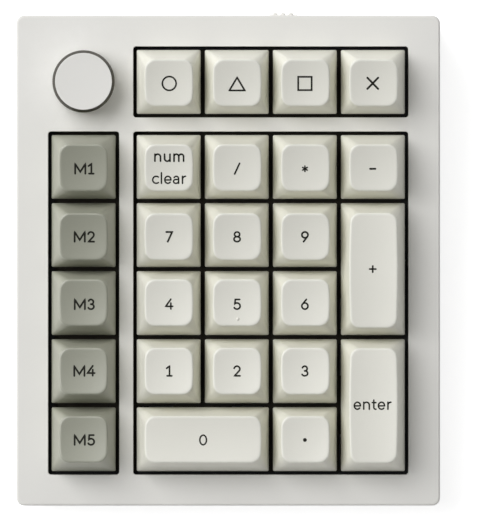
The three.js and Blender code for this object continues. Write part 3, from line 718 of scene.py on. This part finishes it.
def raised_dot(bm, cap, x, y):
    """A small dome on the scoop that a finger can feel."""
    rings = []
    for degrees in (0, 25, 50, 75):
        turn = radians(degrees)
        reach, rise = DOT_RADIUS * cos(turn), DOT_HEIGHT * sin(turn) - DOT_SUNK
        rings.append([Vector((p.x, p.y, cap.scoop(p.x, p.y) + rise))
                      for p in circle(reach, x, y, 20)])
    skin(bm, rings)


for cap in CAPS:
    bm = bmesh.new()
    rows = skin(bm, cap_rings(cap), close_last=False)
    close_scoop(bm, cap, rows[-1])
    if cap.name == "key_5":
        raised_dot(bm, cap, *DOT_PLACE)
    post(bm, cap, SOCKET_RADIUS)
    moulded_block(bm, *SLIDER_HALF, SLIDER_FOOT, SKIRT, material=1)
    sides = (-1, 1) if cap.long else ()
    for side in sides:
        sx, sy = (side, 0) if cap.grow_x > 1 else (0, side)
        x, y = sx * STEM_REACH, sy * STEM_REACH
        post(bm, cap, STEM_RADIUS, x, y)
        half = STEM_HALF if sx else STEM_HALF[::-1]
        moulded_block(bm, *half, STEM_FOOT, SKIRT, x, y, material=2)
    bmesh.ops.translate(bm, verts=bm.verts, vec=(cap.place.x, cap.place.y, 0))
    materials = [PLASTICS[cap.slot], SLIDER, BLACK]
    piece = new_piece(cap.name.replace("key_", "keycap_"), bm, cap.body, materials)
    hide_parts(cap.name)
print("the last cap has", len(piece.data.polygons), "faces")

# %% [markdown]
# ## Legends
# The signs on the caps are a light, even line with open round shapes. A font file would have to be
# read from disk, and a thin line is easy to draw, so each sign is drawn as strokes: straight runs
# and arcs along the middle of the line, from a left end at 0 and a base line at 0.

# %% Strokes
X_HEIGHT, CAP_HEIGHT, ASCENDER = 1.95, 2.7, 2.95
BEARING = 0.33  # room beside an upright stroke


def arc(x, y, rx, ry, start, stop):
    """Points on an ellipse, angles in degrees, about one every 12 degrees."""
    count = max(int(abs(stop - start) / 12), 2)
    turns = [radians(start + (stop - start) * i / count) for i in range(count + 1)]
    return [(x + rx * cos(t), y + ry * sin(t)) for t in turns]


def oval(x, y, rx, ry):
    return arc(x, y, rx, ry, 0, 360)


def star(x, y, reach):
    """Three short lines through one point, the first of them upright."""
    turns = (pi / 2, pi / 6, -pi / 6)
    arms = [(reach * cos(t), reach * sin(t)) for t in turns]
    return [[(x + dx, y + dy), (x - dx, y - dy)] for dx, dy in arms]


def letters():
    """The small letters: left bearing, width, right bearing and strokes."""
    x, side = X_HEIGHT, BEARING
    stem = [(0, 0), (0, x)]
    return {
        "n": (side, 1.55, side, [stem, arc(0.775, x - 0.78, 0.775, 0.78, 180, 0) + [(1.55, 0)]]),
        "u": (side, 1.5, side, [
            [(1.5, x), (1.5, 0)],
            [(0, x)] + arc(0.75, 0.78, 0.75, 0.78, 180, 360),
        ]),
        "m": (side, 2.66, side, [
            stem,
            arc(0.665, x - 0.68, 0.665, 0.68, 180, 0) + [(1.33, 0)],
            arc(1.995, x - 0.68, 0.665, 0.68, 180, 0) + [(2.66, 0)],
        ]),
        "c": (0.14, 1.55, 0.12, [arc(0.98, x / 2, 0.98, x / 2, 52, 308)]),
        "l": (side, 0.02, side, [[(0, 0), (0, ASCENDER)]]),
        "e": (0.16, 1.72, 0.16, [
            [(0.02, 0.93), (1.72, 0.93)],
            arc(0.86, x / 2, 0.86, x / 2, -3, 318),
        ]),
        "a": (0.14, 1.4, side, [
            [(0.16, 1.6)] + arc(0.75, 1.3, 0.65, 0.65, 135, 0) + [(1.4, 0)],
            [(1.4, 1.13), (0.8, 1.06)] + arc(0.62, 0.53, 0.62, 0.53, 100, 270)
            + arc(0.75, 0.62, 0.65, 0.62, 280, 345),
        ]),
        "r": (side, 0.92, 0.1, [stem, arc(0.85, x - 0.85, 0.85, 0.85, 180, 90)]),
        "t": (0.05, 1.05, 0.1, [
            [(0.45, x + 0.6), (0.45, 0.5)] + arc(0.95, 0.5, 0.5, 0.5, 190, 280),
            [(0, x - 0.12), (1.05, x - 0.12)],
        ]),
        "M": (0, 2.84, 0.36, [
            [(0, 0), (0, CAP_HEIGHT), (1.42, 0.5), (2.84, CAP_HEIGHT), (2.84, 0)],
        ]),
    }


def digits_and_signs():
    """The other signs: width and strokes. They stand alone or after a letter that has its room."""
    c, mid = CAP_HEIGHT, CAP_HEIGHT / 2
    return {
        "0": (1.85, [oval(0.925, mid, 0.925, mid)]),
        "1": (1.45, [[(0, c - 0.6), (0.8, c), (0.8, 0)], [(0.15, 0), (1.42, 0)]]),
        "2": (1.75, [arc(0.84, c - 0.8, 0.8, 0.8, 165, -38) + [(0.18, 0), (1.7, 0)]]),
        "3": (1.7, [
            arc(0.8, c - 0.68, 0.68, 0.68, 160, -90),
            arc(0.8, 0.7, 0.82, 0.7, 90, -155),
        ]),
        "4": (1.95, [
            [(1.42, c + 0.08), (0, 0.78), (1.95, 0.78)],
            [(1.42, 1.7), (1.42, 0.05)],
        ]),
        "5": (1.75, [
            [(1.6, c), (0.38, c), (0.22, 1.42)] + arc(0.84, 0.86, 0.88, 0.86, 128, -150),
        ]),
        "6": (1.72, [oval(0.86, 0.86, 0.86, 0.86), [(0.17, 1.36), (1.27, c + 0.02)]]),
        "7": (1.64, [[(0, c), (1.64, c), (0.4, 0)]]),
        "8": (1.72, [oval(0.86, c - 0.66, 0.72, 0.66), oval(0.86, 0.7, 0.86, 0.7)]),
        "9": (1.7, [oval(0.85, c - 0.81, 0.85, 0.81), [(1.57, c - 1.24), (0.46, -0.02)]]),
        "/": (1.35, [[(0, -0.1), (1.35, 2.85)]]),
        "*": (1.5, star(0.75, mid, 0.76)),
        "-": (1.45, [[(0, mid), (1.45, mid)]]),
        "+": (1.7, [[(0, mid), (1.7, mid)], [(0.85, 0.5), (0.85, 2.2)]]),
        ".": (0.62, [oval(0.31, mid, 0.27, 0.27)]),
        "circle": (3.85, [oval(1.925, mid, 1.925, 1.925)]),
        "triangle": (4.3, [[(2.15, -0.1), (0, -0.1), (2.15, 3.5), (4.3, -0.1), (2.15, -0.1)]]),
        "square": (3.75, [
            [(1.9, -0.5), (0, -0.5), (0, 3.2), (3.75, 3.2), (3.75, -0.5), (1.9, -0.5)],
        ]),
        "cross": (3.0, [[(0, -0.15), (3.0, 2.95)], [(0, 2.95), (3.0, -0.15)]]),
    }


SIGNS = letters()
for sign, (width, strokes) in digits_and_signs().items():
    SIGNS[sign] = (0, width, 0, strokes)
print("drawn signs:", " ".join(SIGNS))

# %% [markdown]
# Each stroke becomes a ribbon of even width that hugs the scoop. A Shrinkwrap modifier would work
# too, but the scoop's height is known everywhere, so each point can be put on it directly.

# %% Ribbons that follow the scoop
RIBBON_STEP = 0.3  # the longest run without a point of its own
CLOSED_GAP, SAME_PLACE = 1e-4, 1e-6
SHARPEST_MITRE = 0.6
ROUND_END_STEPS = 6


def dense(points):
    """The same run with a point at least every step, so that it can follow a hollow."""
    run = [Vector(points[0])]
    for p in points[1:]:
        p = Vector(p)
        start = run[-1].copy()
        count = max(int((p - start).length / RIBBON_STEP), 1)
        run += [start.lerp(p, (i + 1) / count) for i in range(count)]
    return run


def heading(start, end):
    """The direction from one point to another, or None where they fall together."""
    way = end - start
    return way.normalized() if way.length > SAME_PLACE else None


def ribbon(bm, points, height, wide):
    """A flat line of even width with round ends. height(x, y) gives the surface under it."""
    run = dense(points)
    closed = (run[0] - run[-1]).length < CLOSED_GAP
    if closed:
        run.pop()
    count = len(run)
    left, right = [], []
    for i, p in enumerate(run):
        came = heading(run[i - 1], p) if closed or i else None
        goes = heading(p, run[(i + 1) % count]) if closed or i < count - 1 else None
        way = ((came or goes) + (goes or came)).normalized()
        lean = way.dot(came or goes)
        side = Vector((-way.y, way.x)) * wide / 2 / max(lean, SHARPEST_MITRE)
        left.append(p + side)
        right.append(p - side)

    def vertex(p):
        return bm.verts.new((p.x, p.y, height(p.x, p.y)))

    lefts, rights = [vertex(p) for p in left], [vertex(p) for p in right]
    for i in range(count if closed else count - 1):
        j = (i + 1) % count
        bm.faces.new((rights[i], rights[j], lefts[j], lefts[i]))
    if not closed:
        for end, way in ((run[0], run[0] - run[1]), (run[-1], run[-1] - run[-2])):
            start = atan2(way.y, way.x) - pi / 2
            turns = [start + pi * k / ROUND_END_STEPS for k in range(ROUND_END_STEPS + 1)]
            fan = [end + polar(t) * wide / 2 for t in turns]
            bm.faces.new([vertex(p) for p in fan])


def write(bm, text, x, y, height, wide):
    """Writes signs in a row, centred on x, with their base line's middle at y."""
    words = [text] if text in SIGNS else list(text)
    pens, at = [], 0.0
    for index, word in enumerate(words):
        left, width, right, strokes = SIGNS[word]
        at += left + (wide if index else 0)
        pens.append((at, strokes))
        at += width + right
    first, last = SIGNS[words[0]], SIGNS[words[-1]]
    middle = (first[0] + at - last[2]) / 2
    for pen, strokes in pens:
        for stroke in strokes:
            moved = [(px + pen - middle + x, py + y) for px, py in stroke]
            ribbon(bm, moved, height, wide)


print("a ribbon has a point at least every", RIBBON_STEP, "mm")

# %% [markdown]
# Every legend is printed in the middle of its cap, but the signs differ in weight: the cross and
# the M keys are a little bolder, the small words a little finer.

# %% Print the legends
LINE = 0.48  # millimetres wide
LINES = {"circle": 0.47, "triangle": 0.5, "square": 0.5, "cross": 0.56, "-": 0.54, "clear": 0.43,
         "enter": 0.43, "4": 0.46, "7": 0.52, "9": 0.5, "*": 0.41, "0": 0.43, ".": 0.52}
LINES.update({f"M{digit}": 0.52 for digit in range(1, 6)})
LEGENDS = {
    "key_circle": [("circle", 0)], "key_triangle": [("triangle", -0.5)],
    "key_square": [("square", 0)], "key_cross": [("cross", 0)],
    "key_num_clear": [("num", 3.46), ("clear", -2.7)],
    "key_divide": [("/", 0)], "key_multiply": [("*", 0)], "key_minus": [("-", 0)],
    "key_plus": [("+", 0)], "key_enter": [("enter", 0.3)], "key_point": [(".", 0)],
}
LEGENDS.update({f"key_{digit}": [(str(digit), 0)] for digit in range(10)})
LEGENDS.update({key: [(key[4:].upper(), 0)] for key in MACRO_KEYS})
PROUD = 0.03  # the ink lies this far over the scoop
PRINT_DRIFT = -0.0065  # the printing plate is a shade narrower than the field of keys

for cap in CAPS:
    bm = bmesh.new()
    base = cap.shift + cap.lift - CAP_HEIGHT / 2
    inward = PRINT_DRIFT * cap.place.x
    for text, up in LEGENDS[cap.name]:
        line = LINES.get(text, LINE)
        write(bm, text, inward, base + up, lambda x, y: cap.scoop(x, y) + PROUD, line)
    for face in bm.faces:
        face.normal_update()
        if face.normal.z < 0:
            face.normal_flip()
    bmesh.ops.translate(bm, verts=bm.verts, vec=(cap.place.x, cap.place.y, 0))
    new_piece(cap.name.replace("key_", "legend_"), bm, cap.body, [INK])
print("legends:", len(LEGENDS))

# %% [markdown]
# ## The top of the case
# The top is milled from one block: a flat deck with three windows for the keys and a hole for the
# knob's shaft, and every edge that a hand can touch is eased. A boolean of boxes would leave sharp
# edges, and a bevel afterwards tends to break at the windows. So the deck is drawn as loops, each
# eased by a quarter round, with flat faces filled between them and weighted normals over all.

# %% Loops for a milled deck
def eased(points_at, flat, way, ease, steps=4):
    """Rings from a wall into a flat face. points_at(inset) gives the outline, way is +1 or -1."""
    rings = []
    for step in range(steps + 1):
        turn = step / steps * pi / 2
        z = flat - way * ease * (1 - sin(turn))
        rings.append(level(points_at(ease * (1 - cos(turn))), z))
    return rings


def fill_between(bm, *rows):
    """A flat face with holes between closed rows of vertices."""
    edges = []
    for row in rows:
        for pair in zip(row, row[1:] + row[:1]):
            edges.append(bm.edges.get(pair) or bm.edges.new(pair))
    bmesh.ops.triangle_fill(bm, use_beauty=True, edges=edges)


def weighted(piece):
    """Lets the big flat faces decide the normals at their borders."""
    modifier = piece.modifiers.new("weighted normals", "WEIGHTED_NORMAL")
    modifier.keep_sharp = True
    modifier.weight = 100


DECK_TOP, SEAM = CASE_HIGH.z - ORIGIN.z, CASE_LOW.z - ORIGIN.z
CASE_HALF = (CASE_HIGH - CASE_LOW) / 2
print("the top of the case is", round(DECK_TOP - SEAM, 2), "mm tall")

# %% [markdown]
# The windows leave a narrow, even gap round the keys, so their sizes are taken from the caps that
# stand in them: the back row, the left column, and all the others.

# %% Windows from the keys
WINDOW_ROOM = 0.4  # added to the keys' own pitch on each side


def reach_of(centres_and_growths):
    """The middle and half size of a row of keys in one direction."""
    ends = [at + side * (UNIT / 2 + grow) for at, grow in centres_and_growths for side in (-1, 1)]
    low, high = min(ends), max(ends)
    return (low + high) / 2, (high - low) / 2 + WINDOW_ROOM


back_row = [cap for cap in CAPS if cap.place.y > 2 * UNIT]
left_column = [cap for cap in CAPS if cap.place.x < -1.8 * UNIT]
others = [cap for cap in CAPS if cap not in back_row + left_column]
WINDOWS = []
for group in (back_row, left_column, others):
    x, half_x = reach_of([(cap.place.x, cap.grow_x) for cap in group])
    y, half_y = reach_of([(cap.place.y, cap.grow_y) for cap in group])
    WINDOWS.append((x, y, half_x, half_y))
    print("window of", round(2 * half_x, 2), "by", round(2 * half_y, 2), "mm")

# %% Mill the top of the case
CASE_CORNER, DECK_EASE, SEAM_EASE = 2.2, 0.62, 0.3
CAVITY = outline(53.8, 63.2, 1.5)
DECK_UNDER = 2.0  # the roof of the cavity
WINDOW_CORNER, WINDOW_EASE = 0.8, 0.2
SHAFT_HOLE = 3.8
KNOB = place_of("knob")


def case_outline(inset):
    return outline(CASE_HALF.x - inset, CASE_HALF.y - inset, CASE_CORNER - inset)


bm = bmesh.new()
seam = eased(case_outline, SEAM, -1, SEAM_EASE)[::-1]
outer = skin(bm, seam + eased(case_outline, DECK_TOP, 1, DECK_EASE, 6), False, False)
hollow = skin(bm, [level(CAVITY, z) for z in (SEAM, DECK_UNDER)], False, False)
tops, unders = [outer[-1]], [hollow[-1]]
for x, y, half_x, half_y in WINDOWS:
    loops = eased(
        lambda i: shifted(outline(half_x + i, half_y + i, WINDOW_CORNER + i), x, y),
        DECK_TOP, 1, WINDOW_EASE,
    )
    rows = skin(bm, [level(loops[0], DECK_UNDER)] + loops, False, False)
    tops.append(rows[-1])
    unders.append(rows[0])
hole = [level(circle(SHAFT_HOLE, KNOB.x, KNOB.y), z) for z in (DECK_UNDER, DECK_TOP)]
rows = skin(bm, hole, False, False)
fill_between(bm, *tops, rows[-1])
fill_between(bm, *unders, rows[0])
fill_between(bm, outer[0], hollow[0])
top_case = new_piece("top_shell", bm, "case", [SHELL], sharp=50)
weighted(top_case)
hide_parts("top_case")
print("top of the case:", len(top_case.data.polygons), "faces")

# %% [markdown]
# ## The bottom of the case
# The lower half is a wedge: its walls run square to the deck, but its underside lies level with the
# desk, so the lowest outlines slant by the tilt. No hand rubs it, so its coat has no worn edges.

# %% The wedge
UNDERSIDE = 2.0  # millimetres over the desk
SEAM_GAP = 0.3  # the shadow line between the halves
UNDER_CHAMFER = ((1.9, 0), (1.6, 0.06), (1.4, 0.2), (0.2, 1.4), (0.06, 1.62), (0, 1.95))
SEAM_ROUND = ((0, 0), (0.04, 30), (0.15, 60), (0.3, 90))  # insets and degrees
LIP, LIP_HEIGHT = outline(53.4, 62.8, 1.2), 0.5  # fits into the cavity of the top
TRAY, TRAY_FLOOR = outline(49.6, 59.6, 0.6), -9.8


def over_desk(height, y):
    """The deck's own height of a point that lies so many millimetres over the desk."""
    return (height - sin(TILT) * (ORIGIN.y + y)) / cos(TILT) - ORIGIN.z


def wall_outline(inset):
    return outline(CASE_HALF.x - inset, CASE_HALF.y - inset, CASE_CORNER)


rings = []
for inset, rise in UNDER_CHAMFER:
    points = wall_outline(inset)
    rings.append([Vector((p.x, p.y, over_desk(UNDERSIDE + rise, p.y))) for p in points])
for inset, degrees in SEAM_ROUND:
    drop = SEAM_EASE * (1 - sin(radians(degrees)))
    rings.append(level(wall_outline(inset), SEAM - SEAM_GAP - drop))
rings += [level(LIP, z) for z in (SEAM - SEAM_GAP, SEAM + LIP_HEIGHT)]
rings += [level(TRAY, z) for z in (SEAM + LIP_HEIGHT, TRAY_FLOOR)]
bm = bmesh.new()
skin(bm, rings)
shell_mesh = to_mesh("bottom_shell_cut", bm)
print("the uncut wedge has", len(shell_mesh.polygons), "faces")

# %% [markdown]
# The ports and screw holes could be drawn into the rings too, but they sit on other faces, so here
# booleans are the better tool. Each cutter is flared at its mouth, which leaves a small chamfer.

# %% Cutters
def across_wall(points, y, x, z):
    """An outline drawn on a face that looks backwards."""
    return [Vector((x + p.x, y, z + p.y)) for p in points]


def cut_with(piece_mesh, rings):
    """Takes a closed skin away from a mesh and returns what is left."""
    bm = bmesh.new()
    skin(bm, rings)
    tool = in_scene("cutter", to_mesh("cutter", bm))
    block = in_scene("block", piece_mesh)
    modifier = block.modifiers.new("cut", "BOOLEAN")
    modifier.object = tool
    modifier.operation = "DIFFERENCE"
    modifier.solver = "EXACT"
    bpy.context.view_layer.update()
    ready = block.evaluated_get(bpy.context.evaluated_depsgraph_get())
    done = bpy.data.meshes.new_from_object(ready)
    for thing in (tool, block):
        mesh = thing.data
        bpy.data.objects.remove(thing)
        bpy.data.meshes.remove(mesh)
    return done


def flared(ring_at, deep, mouth, past, chamfer=0.3):
    """Rings of a cutter from its floor to past the surface, widened by chamfer at the mouth."""
    way = 1 if past > deep else -1
    return [
        ring_at(0, deep), ring_at(0, mouth - way * chamfer), ring_at(chamfer, mouth),
        ring_at(chamfer, past),
    ]


def grown(points, chamfer):
    """The outline a chamfer's width larger all round."""
    half_x, half_y = max(p.x for p in points), max(p.y for p in points)
    return [Vector((p.x * (1 + chamfer / half_x), p.y * (1 + chamfer / half_y))) for p in points]


# %% Openings in the back wall
BACK_WALL = CASE_HALF.y
PORT_SKIN = 64.1  # the inner face of the back wall behind both openings
OPENING_HEIGHT = -9.0
PORT_OUTLINE = outline(6.5, 3.7, 3.65, per_side=2, steps=10)
SLOT_OUTLINE = outline(6.8, 2.1, 0.8, per_side=2, steps=5)
PAST = 2  # how far a cutter reaches out of the face it cuts
PORT = place_of("usb_socket")
SLIDER_PLACE = place_of("mode_switch_slider")

for points, place in ((PORT_OUTLINE, PORT), (SLOT_OUTLINE, SLIDER_PLACE)):
    shell_mesh = cut_with(shell_mesh, flared(
        lambda c, y: across_wall(grown(points, c), y, place.x, OPENING_HEIGHT),
        PORT_SKIN - 1, BACK_WALL, BACK_WALL + PAST,
    ))
print("after the openings:", len(shell_mesh.polygons), "faces")

# %% Pockets for the socket, the mode switch and the battery
POCKET_HALF, POCKET_X, POCKET_FLOOR = (22.5, 4.05), 2, -13.4
CELL_HALF, CELL_Y, CELL_FLOOR, CELL_TOP = (41, 17), 38, -16.3, -9.0

pocket = shifted(outline(*POCKET_HALF, 0.5), POCKET_X, PORT_SKIN - POCKET_HALF[1])
shell_mesh = cut_with(shell_mesh, [level(pocket, z) for z in (POCKET_FLOOR, SEAM + PAST)])
cell = shifted(outline(*CELL_HALF, 1.0), 0, CELL_Y)
shell_mesh = cut_with(shell_mesh, [level(cell, z) for z in (CELL_FLOOR, CELL_TOP)])
print("after the pockets:", len(shell_mesh.polygons), "faces")

# %% Holes for the screws
SCREWS = [place_of(f"case_screw_{number}") for number in range(1, 7)]
BOSS_RADIUS, SHANK_RADIUS, HEAD_RADIUS = 4.4, 1.8, 3.05
HEAD_SEAT, HEAD_CHAMFER = -10.0, 0.35

for place in SCREWS:
    floor_here = over_desk(UNDERSIDE, place.y)
    for radius, count, low, high in (
        (BOSS_RADIUS, 24, SEAM - SEAM_GAP, SEAM + PAST),
        (SHANK_RADIUS, 16, HEAD_SEAT - 0.5, 0),
    ):
        hole = circle(radius, place.x, place.y, count)
        shell_mesh = cut_with(shell_mesh, [level(hole, z) for z in (low, high)])
    shell_mesh = cut_with(shell_mesh, flared(
        lambda c, z: level(circle(HEAD_RADIUS + c, place.x, place.y, 32), z),
        HEAD_SEAT, floor_here, floor_here - 3, HEAD_CHAMFER,
    ))
print("after the screw holes:", len(shell_mesh.polygons), "faces")

# %% Recesses for the feet
FEET = [node for node in NODES if node.startswith("foot_")]
RECESS_RADIUS, RECESS_ROOF, RECESS_CHAMFER = 6.3, 3.0, 0.2
FROM_DESK = DECK.inverted() @ Matrix.Scale(MM, 4)  # from the desk's millimetres to the deck's


def foot_place(node):
    """A foot's middle and its half size on the desk, in millimetres."""
    low, high = (Vector(corner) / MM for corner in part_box(node))
    return (low + high) / 2, (high - low) / 2


for node in FEET:
    middle, half = foot_place(node)
    shell_mesh = cut_with(shell_mesh, flared(
        lambda c, z: [
            FROM_DESK @ p for p in level(circle(RECESS_RADIUS + c, middle.x, middle.y, 48), z)
        ],
        RECESS_ROOF, UNDERSIDE, UNDERSIDE - 3, RECESS_CHAMFER,
    ))
print("bottom of the case:", len(shell_mesh.polygons), "faces after the cuts")

# %% Finish the bottom of the case
bm = bmesh.new()
bm.from_mesh(shell_mesh)
bpy.data.meshes.remove(shell_mesh)
bottom_case = new_piece("bottom_shell", bm, "case", [UNDER], sharp=40)
weighted(bottom_case)
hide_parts("bottom_case")

# %% [markdown]
# ## The knob
# The knob is turned from bar: a plain drum with a polished chamfer round its top. The chamfer is
# bare dark metal, the rest is coated like the case. Turning means one profile swept round an axis.
# The Screw modifier could sweep it, but rings of points let each band have its own material.

# %% Turn the knob
KNOB_LOW, KNOB_HIGH = flat_box("knob")
CHAMFER = 0.85
BORE, BORE_DEPTH = 3.2, 6.4
DISH = 0.12  # how far the middle of the top lies under its rim
RING_BAND = (0.12, 0.2)  # how far a face of the ring may lie from the chamfer's middle

bottom, top = KNOB_LOW.z - ORIGIN.z, KNOB_HIGH.z - ORIGIN.z
radius = (KNOB_HIGH.x - KNOB_LOW.x) / 2
profile = [
    (BORE, bottom + BORE_DEPTH), (BORE, bottom + 0.25), (BORE + 0.25, bottom),
    (radius - 0.35, bottom), (radius - 0.1, bottom + 0.1), (radius, bottom + 0.35),
    (radius, top - CHAMFER - 0.1), (radius - 0.04, top - CHAMFER),
    (radius - CHAMFER + 0.04, top - 0.05), (radius - CHAMFER - 0.06, top),
]
profile += [(radius * share, top - DISH * (1 - share**2)) for share in (0.7, 0.45, 0.2, 0.02)]
bm = bmesh.new()
lathe(bm, profile, KNOB.x, KNOB.y)
for face in bm.faces:
    middle = face.calc_center_median() - Vector((KNOB.x, KNOB.y, 0))
    off_radius = abs(middle.xy.length - (radius - CHAMFER / 2))
    off_height = abs(middle.z - (top - CHAMFER / 2))
    if off_radius < RING_BAND[0] and off_height < RING_BAND[1]:
        face.material_index = 1
knob = new_piece("knob_cap", bm, "knob_body", [KNOB_WHITE, KNOB_RING], sharp=28)
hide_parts("knob")
print("knob:", round(2 * radius, 2), "mm across")

# %% [markdown]
# ## The mode slider
# A moulded cap with three grip ribs stands in a slot of the back wall, and a tongue behind it moves
# the switch. The ribs are soft pillows of their own, which is simpler than carving the cap's face.

# %% Mode slider
FACE_PROUD = 0.45  # how far the cap stands out of the wall
SLOT_INSIDE, TONGUE_END = 64.4, 62.1  # where the cap begins, and the tongue behind it
RIB_PITCH, RIB_HALF_X, RIB_HALF_Y, RIB_HALF_Z = 2.2, 0.72, 0.68, 1.45


def block_along_y(bm, points, profile, x, z, material=0):
    """A closed skin that runs backwards: profile holds (inset as a share, y) pairs."""
    rings = [across_wall([p * (1 - share) for p in points], y, x, z) for share, y in profile]
    skin(bm, rings, material=material)


x, z = SLIDER_PLACE.x, SLIDER_PLACE.z
face_y = BACK_WALL + FACE_PROUD
bm = bmesh.new()
block_along_y(
    bm, outline(4.2, 1.75, 0.6, per_side=3, steps=4),
    [(0.05, SLOT_INSIDE), (0, SLOT_INSIDE + 0.2), (0, face_y - 0.2), (0.03, face_y - 0.06),
     (0.1, face_y)], x, z,
)
tongue = outline(1.0, 1.0, 0.15, per_side=1, steps=2)
block_along_y(bm, tongue, [(0, TONGUE_END), (0, SLOT_INSIDE + 0.6)], x, z)
for step in (-1, 0, 1):
    moulded_block(bm, RIB_HALF_X, RIB_HALF_Y, z - RIB_HALF_Z, z + RIB_HALF_Z,
                  x - 0.1 + RIB_PITCH * step, face_y, radius=0.55, ease=0.3)
piece = new_piece("mode_slider_cap", bm, "mode_slider_body", [KNOB_WHITE])
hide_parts("mode_switch_slider")
print("mode slider:", len(piece.data.polygons), "faces")

# %% [markdown]
# ## The socket
# The socket is a thin pressed steel shell round a black tongue with plated contacts. The shell's
# skin turns round at the mouth and runs back inside. A Solidify modifier would not round the mouth.

# %% Socket for the cable
CONTACTS_ON_A_SIDE, CONTACT_PITCH = 8, 0.7

x, z, mouth = PORT.x, PORT.z, flat_box("usb_socket")[1].y - ORIGIN.y
shell_outline = outline(4.5, 1.65, 1.6, per_side=4, steps=8)
inner_outline = outline(4.15, 1.28, 1.22, per_side=4, steps=8)
tongue = outline(3.3, 0.35, 0.3, per_side=2, steps=3)
contact = outline(0.14, 0.03, 0.02, per_side=1, steps=1)
bm = bmesh.new()
skin(bm, [
    across_wall([p * size for p in points], mouth - deep, x, z)
    for points, size, deep in (
        (shell_outline, 1, 7.3), (shell_outline, 1, 0.12), (shell_outline, 0.985, 0),
        (inner_outline, 1.01, 0), (inner_outline, 1, 0.15), (inner_outline, 1, 6.0),
    )
])
block_along_y(bm, tongue, [(0, mouth - 6.5), (0, mouth - 0.95), (0.1, mouth - 0.8)], x, z, 1)
for index in range(CONTACTS_ON_A_SIDE):
    for side in (-1, 1):
        block_along_y(bm, contact, [(0, mouth - 5.8), (0, mouth - 1.3)],
                      x - 2.45 + CONTACT_PITCH * index, z + side * 0.36, 2)
piece = new_piece("socket_shell", bm, "case", [STEEL, BLACK, GOLD])
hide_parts("usb_socket")
print("socket:", len(piece.data.polygons), "faces")

# %% [markdown]
# ## Case screws
# Six hexagon socket screws hold the case together from below. The crest of their thread climbs by
# one pitch in a turn. A bump map would look the same from afar, but leave the outline smooth.

# %% Case screws
ROUND_SCREW = 24  # points round every ring of a screw
PITCH, THREAD_RADIUS, THREAD_DEPTH, THREAD_TIP = 0.7, 1.5, 0.2, 1.1
RING_STEP = PITCH / 4
HEAD_HEIGHT, KEY_DEPTH, KEY_MOUTH, KEY_REACH = 3, 1.7, 0.12, 1.45
HEAD_PROFILE = ((1.62, 0), (2.45, 0), (2.68, 0.1), (2.75, 0.35), (2.75, 2.8), (2.6, HEAD_HEIGHT))


def turned_ring(middle, z, radius_at):
    """A level ring round an upright axis, whose radius depends on the share of a turn."""
    ring = []
    for i in range(ROUND_SCREW):
        turn, r = 2 * pi * i / ROUND_SCREW, radius_at(i / ROUND_SCREW)
        ring.append(Vector((middle.x + r * cos(turn), middle.y + r * sin(turn), z)))
    return ring


def thread(height):
    """The radius falls and rises once in each pitch, along a helix."""
    return lambda turn: THREAD_RADIUS - THREAD_DEPTH * abs(2 * ((height / PITCH - turn) % 1) - 1)


def hexagon(turn):
    """The radius of the hexagonal socket at a share of a turn."""
    off = (2 * pi * turn + pi / 6) % (pi / 3) - pi / 6
    return KEY_REACH * cos(pi / 6) / cos(off)


for number, place in enumerate(SCREWS, start=1):
    low, high = flat_box(f"case_screw_{number}")
    foot_z, tip = low.z - ORIGIN.z, high.z - ORIGIN.z
    seat = foot_z + HEAD_HEIGHT
    rings = [turned_ring(place, foot_z + z, hexagon) for z in (KEY_DEPTH, KEY_MOUTH)]
    rings += [level(circle(r, place.x, place.y, ROUND_SCREW), foot_z + z) for r, z in HEAD_PROFILE]
    for step in range(int((tip - seat - 0.2) / RING_STEP)):
        height = seat + 0.1 + RING_STEP * step
        rings.append(turned_ring(place, height, thread(height)))
    rings.append(level(circle(THREAD_TIP, place.x, place.y, ROUND_SCREW), tip))
    bm = bmesh.new()
    skin(bm, rings)
    piece = new_piece(f"socket_screw_{number}", bm, "case", [DARK_STEEL], sharp=40)
    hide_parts(f"case_screw_{number}")
print("a screw has", len(piece.data.polygons), "faces")

# %% [markdown]
# ## Feet
# Four silicone feet with grip rings are glued into the recesses. They stand level on the desk, so
# they are turned about an upright axis and not tilted with the deck.

# %% Feet
GROOVE = ((0, 0.05), (0.15, 0.28), (0.45, 0.28), (0.6, 0.05), (0.7, 0))
GROOVES = (1.5, 2.9, 4.3)
CORE, RIM_PROFILE = 0.3, ((5.35, 0), (5.75, 0.12), (5.95, 0.38), (6.0, 0.7))

for node in FEET:
    middle, half = foot_place(node)
    roof = middle.z + half.z
    profile = [(CORE, 0), (1.1, 0)]
    profile += [(start + r, z) for start in GROOVES for r, z in GROOVE]
    profile += [*RIM_PROFILE, (6.0, roof), (CORE, roof)]
    bm = bmesh.new()
    lathe(bm, profile, middle.x, middle.y, sides=64)
    piece = new_piece(node.replace("foot_", "rubber_foot_"), bm, "case", [RUBBER],
                      tilt=False, sharp=40)
    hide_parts(node)
print("six screws and", len(FEET), "feet are in place")

# %% [markdown]
# ## The parts inside
# The plate, the switches, the board and the rest are pressed, punched or cut parts, so they keep
# the plain shape that the CAD gave them and only need their finishes. What lies between the keys is
# nearly black, so the gaps read as deep shadow.

# %% Finishes of the inner parts
INNER = {
    "switch_plate": PLATE, "switch_bank": BLACK, "circuit_board": BOARD, "plate_gasket": RUBBER,
    "case_foam": FOAM, "battery_pack": FOIL, "encoder_body": BLACK, "encoder_plunger": BLACK,
    "encoder_shaft": STEEL, "mode_switch_body": STEEL,
}
for node in NODES:
    if node.startswith("stabiliser_"):
        INNER[node] = STEEL if node.endswith("_wire") else BLACK
for node, material in INNER.items():
    mesh = NODES[node].data
    mesh.materials.clear()
    mesh.materials.append(material)
print("inner parts finished:", len(INNER))
